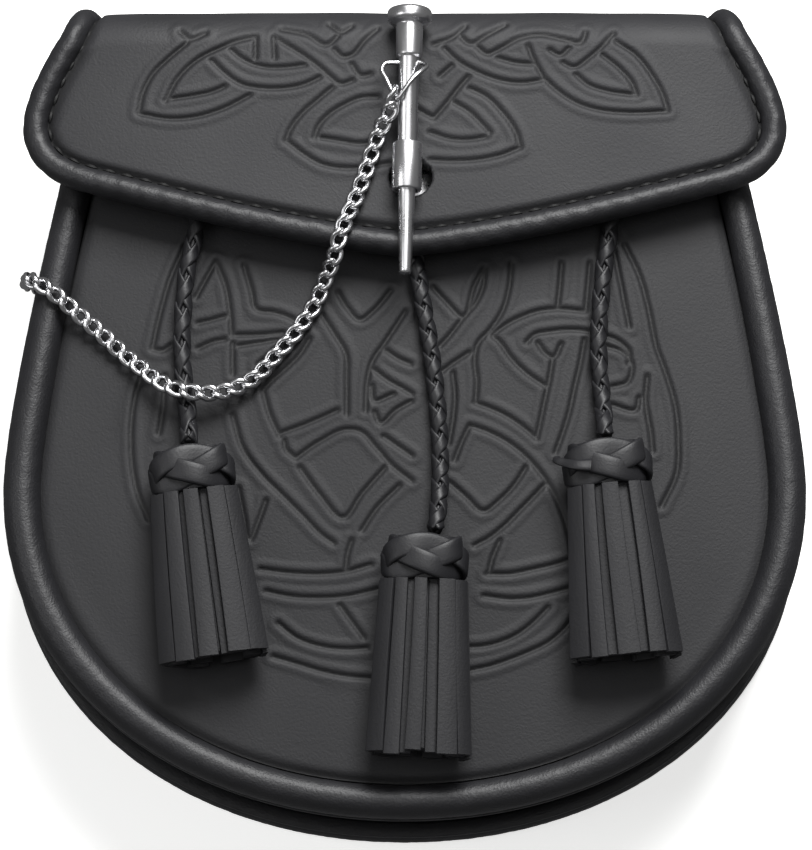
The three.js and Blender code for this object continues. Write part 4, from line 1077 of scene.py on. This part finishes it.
lock = {
    "tip": (0.1, 28.9, 54.4), "lean": 0.017, "holeAt": 52.2,
    "pin": [   # distance from the tip and radius
        (0, 0.02), (0, 0.9), (0.15, 1.2), (0.45, 1.4), (0.9, 1.48), (10, 1.74), (20.0, 2.0),
        (20.3, 2.06), (20.5, 2.2), (32.3, 2.2), (32.5, 2.3), (32.8, 2.4), (53.3, 2.4), (53.5, 2.5),
        (53.7, 3.0), (54.0, 3.1), (54.3, 3.12), (61.2, 3.25), (61.6, 3.2), (61.8, 3.3),
        (62.1, 4.4), (62.3, 4.9), (62.7, 5.25), (63.2, 5.35), (64.4, 5.35), (64.9, 5.25),
        (65.3, 4.95), (65.6, 4.3), (65.85, 3.2), (65.97, 1.8), (66.0, 0.02),
    ],
    "barrel": [   # round the keeper's barrel and back through its bore
        (20.5, 2.55), (20.5, 3.2), (20.6, 3.42), (20.85, 3.55), (31.85, 3.55), (32.1, 3.42),
        (32.2, 3.2), (32.2, 2.55),
    ],
    "stem": (4, 6), "stemTop": -3.0, "plate": (16, 13, 1),
    "plateReach": 8, "plateGap": 0.3,    # the plate's low end, and its gap over the panel
    "ringWire": 0.56,
    "ringBends": [   # about the pin's cross hole
        (-3.4, 0, 0), (0, 0, 0), (3.4, 0, 0), (4.3, -0.9, 1.0), (3.2, -2.7, 2.6), (0.9, -5.2, 3.7),
        (-1.2, -8.2, 3.7), (-2.7, -9.9, 3.2), (-3.6, -8.4, 2.5), (-5.3, -4.6, 1.4),
        (-6.4, -1.7, 0.5), (-5.6, -0.3, 0.1),
    ],
}


# The lock is worked out along +Y from the pin's tip, then leaned to the right and put in place.
def lockPlaced(points):
    c, s = math.cos(-lock["lean"]), math.sin(-lock["lean"])
    return points @ np.array([[c, s, 0], [-s, c, 0], [0, 0, 1]]) + np.array(lock["tip"])


# Rounded block standing on its own ring of offsets, narrowed a little at both ends.
def block(middle, sizeX, sizeY, sizeZ, power=0.3, soft=0.25):
    line = np.array(middle) + np.linspace(-0.5, 0.5, 7)[:, None] * [0, 0, sizeZ]
    line[1, 2], line[-2, 2] = line[0, 2] + soft * 0.5, line[-1, 2] - soft * 0.5
    inset = np.array([soft, soft * 0.3, 0, 0, 0, soft * 0.3, soft])[:, None, None]
    around = ring(1, 1, 32, power)[None]
    half = np.array([sizeX / 2, sizeY / 2])
    return tube(sweep(line, around * (half - inset), (0, 1, 0)))


# Turned pin, barrel keeper with its stem and plate, and the ring bent from wire.
def makeLock(k):
    pin = tube(lockPlaced(turned(k["pin"], 72)))
    addPiece("lockPin", [pin], turnedNickel, ["lock_pin"], 50)
    middle = (k["barrel"][0][0] + k["barrel"][-1][0]) / 2
    x, y, z = k["tip"]
    low = np.array(y + middle - k["plateReach"])
    panelZ = frontPanel["edgeZ"] + frontPanel["dome"] * float(domeAt(0.0, low))
    seatZ = panelZ + k["plateGap"] - z
    plateTop = seatZ + k["plate"][2]
    overlap = 0.6    # the stem goes a little way into the plate
    parts = [
        tube(lockPlaced(turned(k["barrel"], 64)), True),
        placedBlock((0, middle, (k["stemTop"] + plateTop) / 2), *k["stem"],
                    k["stemTop"] - plateTop + overlap),
        placedBlock((0, middle, seatZ + k["plate"][2] / 2), *k["plate"]),
    ]
    addPiece("lockKeeper", parts, turnedNickel, ["lock_keeper"], 50)
    bends = np.array(k["ringBends"]) + [0, k["holeAt"], 0]
    section = ring(k["ringWire"], k["ringWire"], 14)
    wire = lockPlaced(sweep(smoothLine(bends, 120, True), section, (0, 0, 1), True))
    addPiece("pinRing", [tube(wire, True)], wireNickel, ["pin_ring"], 180)


# A rounded block in the lock's own place.
def placedBlock(middle, sizeX, sizeY, sizeZ):
    verts, faces = block(middle, sizeX, sizeY, sizeZ)
    return lockPlaced(verts), faces


makeLock(lock)
print("lock turned")

chain = {
    "links": 42, "length": 6.3, "width": 4.4, "wire": 0.7, "twist": 0.9, "firstTurn": -1,
    "hangsFromX": 80, "turnsOver": 6, "rings": 30, "sides": 10,
    "route": [
        (-2.3, 73.4, 57.8), (-3.4, 69.0, 56.6), (-5.4, 65.6, 53.6), (-6.9, 62.2, 51.8),
        (-8.0, 58.7, 51.4), (-9.3, 54.7, 51.4), (-10.6, 51.0, 51.4), (-11.9, 47.6, 51.6),
        (-13.3, 44.2, 52.4), (-14.7, 40.4, 53.2), (-15.9, 37.0, 52.6), (-16.8, 33.9, 50.2),
        (-18.0, 31.8, 47.4), (-19.5, 29.0, 44.6), (-20.9, 25.5, 42.8), (-25.4, 18.5, 42.5),
        (-30.4, 12.4, 42.4), (-36.3, 6.0, 43.0), (-43.7, 2.4, 45.2), (-49.4, 2.0, 46.5),
        (-53.4, 2.7, 46.5), (-57.8, 5.0, 45.0), (-62.1, 8.7, 42.9), (-66.1, 12.0, 41.6),
        (-72.1, 17.6, 41.4), (-78.5, 23.0, 42.2), (-81.9, 26.0, 43.0), (-85.3, 28.6, 43.0),
        (-88.7, 30.8, 41.2), (-90.5, 31.8, 37.6), (-90.3, 32.4, 33.6), (-87.8, 32.7, 29.0),
    ],
}


# Curb links: each is an oval of wire that twists the same way towards both ends, so that the next
# one lies through it nearly flat. All the links are worked out together.
def makeChain(c):
    line = smoothLine(c["route"], 1200)
    pick = ((np.arange(c["links"]) + 0.5) / c["links"] * 1199).astype(int)
    centre, along = line[pick], unit(line[pick + 3] - line[pick - 3])
    tip = np.minimum(0, (centre[:, 0] + c["hangsFromX"]) / c["turnsOver"])
    up = np.stack([tip, 0 * pick, 1 + 0 * pick], -1)
    up = unit(up - along * (up * along).sum(1, keepdims=True))
    across = np.cross(up, along)
    c0, s0 = math.cos(c["firstTurn"]), math.sin(c["firstTurn"])
    up[0], across[0] = c0 * up[0] - s0 * across[0], c0 * across[0] + s0 * up[0]
    lean = np.random.default_rng(2).uniform(-0.1, 0.1, c["links"])[:, None]
    lean[0] = 0
    up, across = unit(up + across * lean), unit(across - up * lean)
    t = np.arange(c["rings"]) * 2 * math.pi / c["rings"]
    reach, twist = np.cos(t), c["twist"] * np.cos(t)
    halfLength, halfWidth = c["length"] / 2 - c["wire"], c["width"] / 2 - c["wire"]
    oval = (
        along[:, None] * (halfLength * reach)[:, None]
        + across[:, None] * (halfWidth * np.sin(t) * np.cos(twist))[:, None]
        + up[:, None] * (halfWidth * np.sin(t) * np.sin(twist))[:, None]
    )
    tangent = unit(np.roll(oval, -1, 1) - np.roll(oval, 1, 1))
    top = np.repeat(up[:, None], c["rings"], 1)
    top = unit(top - tangent * (top * tangent).sum(-1, keepdims=True))
    out = np.cross(tangent, top)
    a = np.arange(c["sides"]) * 2 * math.pi / c["sides"]
    wire = (
        (centre[:, None] + oval)[:, :, None]
        + out[:, :, None] * (c["wire"] * np.cos(a))[:, None]
        + top[:, :, None] * (c["wire"] * np.sin(a))[:, None]
    )
    runs = ["chain_run_%d" % n for n in range(1, 7)]
    addPiece("chain", [tube(wire, True)], wireNickel, runs, 180)


makeChain(chain)

staple = {"at": (-83.3, 31.6, 24), "plate": (0.8, 7, 7), "wire": 0.6, "loopX": -3.4, "loopZ": 3.6,
          "loopHalfWidth": 3.2, "loopHalfHeight": 3.4}


# Small plate on the gusset with a wire loop through which the last link hangs.
def makeStaple(s):
    turn = math.atan2(outline["shoulder"][0] - outline["mouth"][0],
                      outline["mouth"][1] - outline["shoulder"][1])
    t = np.arange(48) * 2 * math.pi / 48
    loop = np.stack([s["loopX"] - s["loopHalfWidth"] * np.cos(t), 0 * t,
                     s["loopZ"] + s["loopHalfHeight"] * np.sin(t)], -1)
    wire = sweep(loop, ring(s["wire"], s["wire"], 12), (0, 1, 0), True)
    parts = [tube(wire, True), block((0, 0, 0), *s["plate"])]
    c, d = math.cos(-turn), math.sin(-turn)
    place = np.array([[c, d, 0], [-d, c, 0], [0, 0, 1]])
    parts = [(verts @ place + np.array(s["at"]), faces) for verts, faces in parts]
    addPiece("chainAnchor", parts, wireNickel, ["chain_anchor"], 50)


makeStaple(staple)
print("chain linked")

studio = {
    "floor": "#f6f6f5", "floorGlow": 0.75, "floorSize": 6,
    "sky": "#ffffff", "skyStrength": 0.13,
    "lights": [   # name, place, size, power and whether it only shows in what is shiny
        ("keyAbove", (0.22, 0.86, 1.05), 0.7, 31, False),
        ("sideLeft", (-1.0, -0.1, 1.0), 0.6, 3, False),
        ("cardOverhead", (0.05, 0.05, 1.6), 1.2, 5.6, True),
    ],
}


# White paper on a light table: the glow takes most of the shadow off it.
def makeStudio(s):
    half = s["floorSize"] / 2
    mesh = bpy.data.meshes.new("floor")
    corners = [(-half, -half, 0), (half, -half, 0), (half, half, 0), (-half, half, 0)]
    mesh.from_pydata(corners, [], [(0, 1, 2, 3)])
    floor = bpy.data.objects.new("floor", mesh)
    bpy.context.scene.collection.objects.link(floor)
    paper, _, _ = newMaterial("plain white paper", Base_Color=colour(s["floor"]), Roughness=0.9,
                              Specular_IOR_Level=0.1, Emission_Color=colour(s["floor"]),
                              Emission_Strength=s["floorGlow"])
    mesh.materials.append(paper)
    floor.visible_glossy = False    # it doesn't mirror in the leather's edges
    world = bpy.data.worlds.new("studio")
    world.use_nodes = True
    sky = world.node_tree.nodes["Background"]
    sky.inputs["Color"].default_value = colour(s["sky"])
    sky.inputs["Strength"].default_value = s["skyStrength"]
    bpy.context.scene.world = world
    for name, place, size, power, shineOnly in s["lights"]:
        light = bpy.data.lights.new(name, "AREA")
        light.size, light.energy = size, power
        lamp = bpy.data.objects.new(name, light)
        bpy.context.scene.collection.objects.link(lamp)
        lamp.location = place
        lamp.rotation_mode = "QUATERNION"
        lamp.rotation_quaternion = (Vector(place) - Vector((0, 0, 0.04))).to_track_quat("Z", "Y")
        lamp.visible_camera = False
        lamp.visible_diffuse = not shineOnly
    bpy.context.scene.view_settings.view_transform = "Standard"


makeStudio(studio)
print("studio lit")
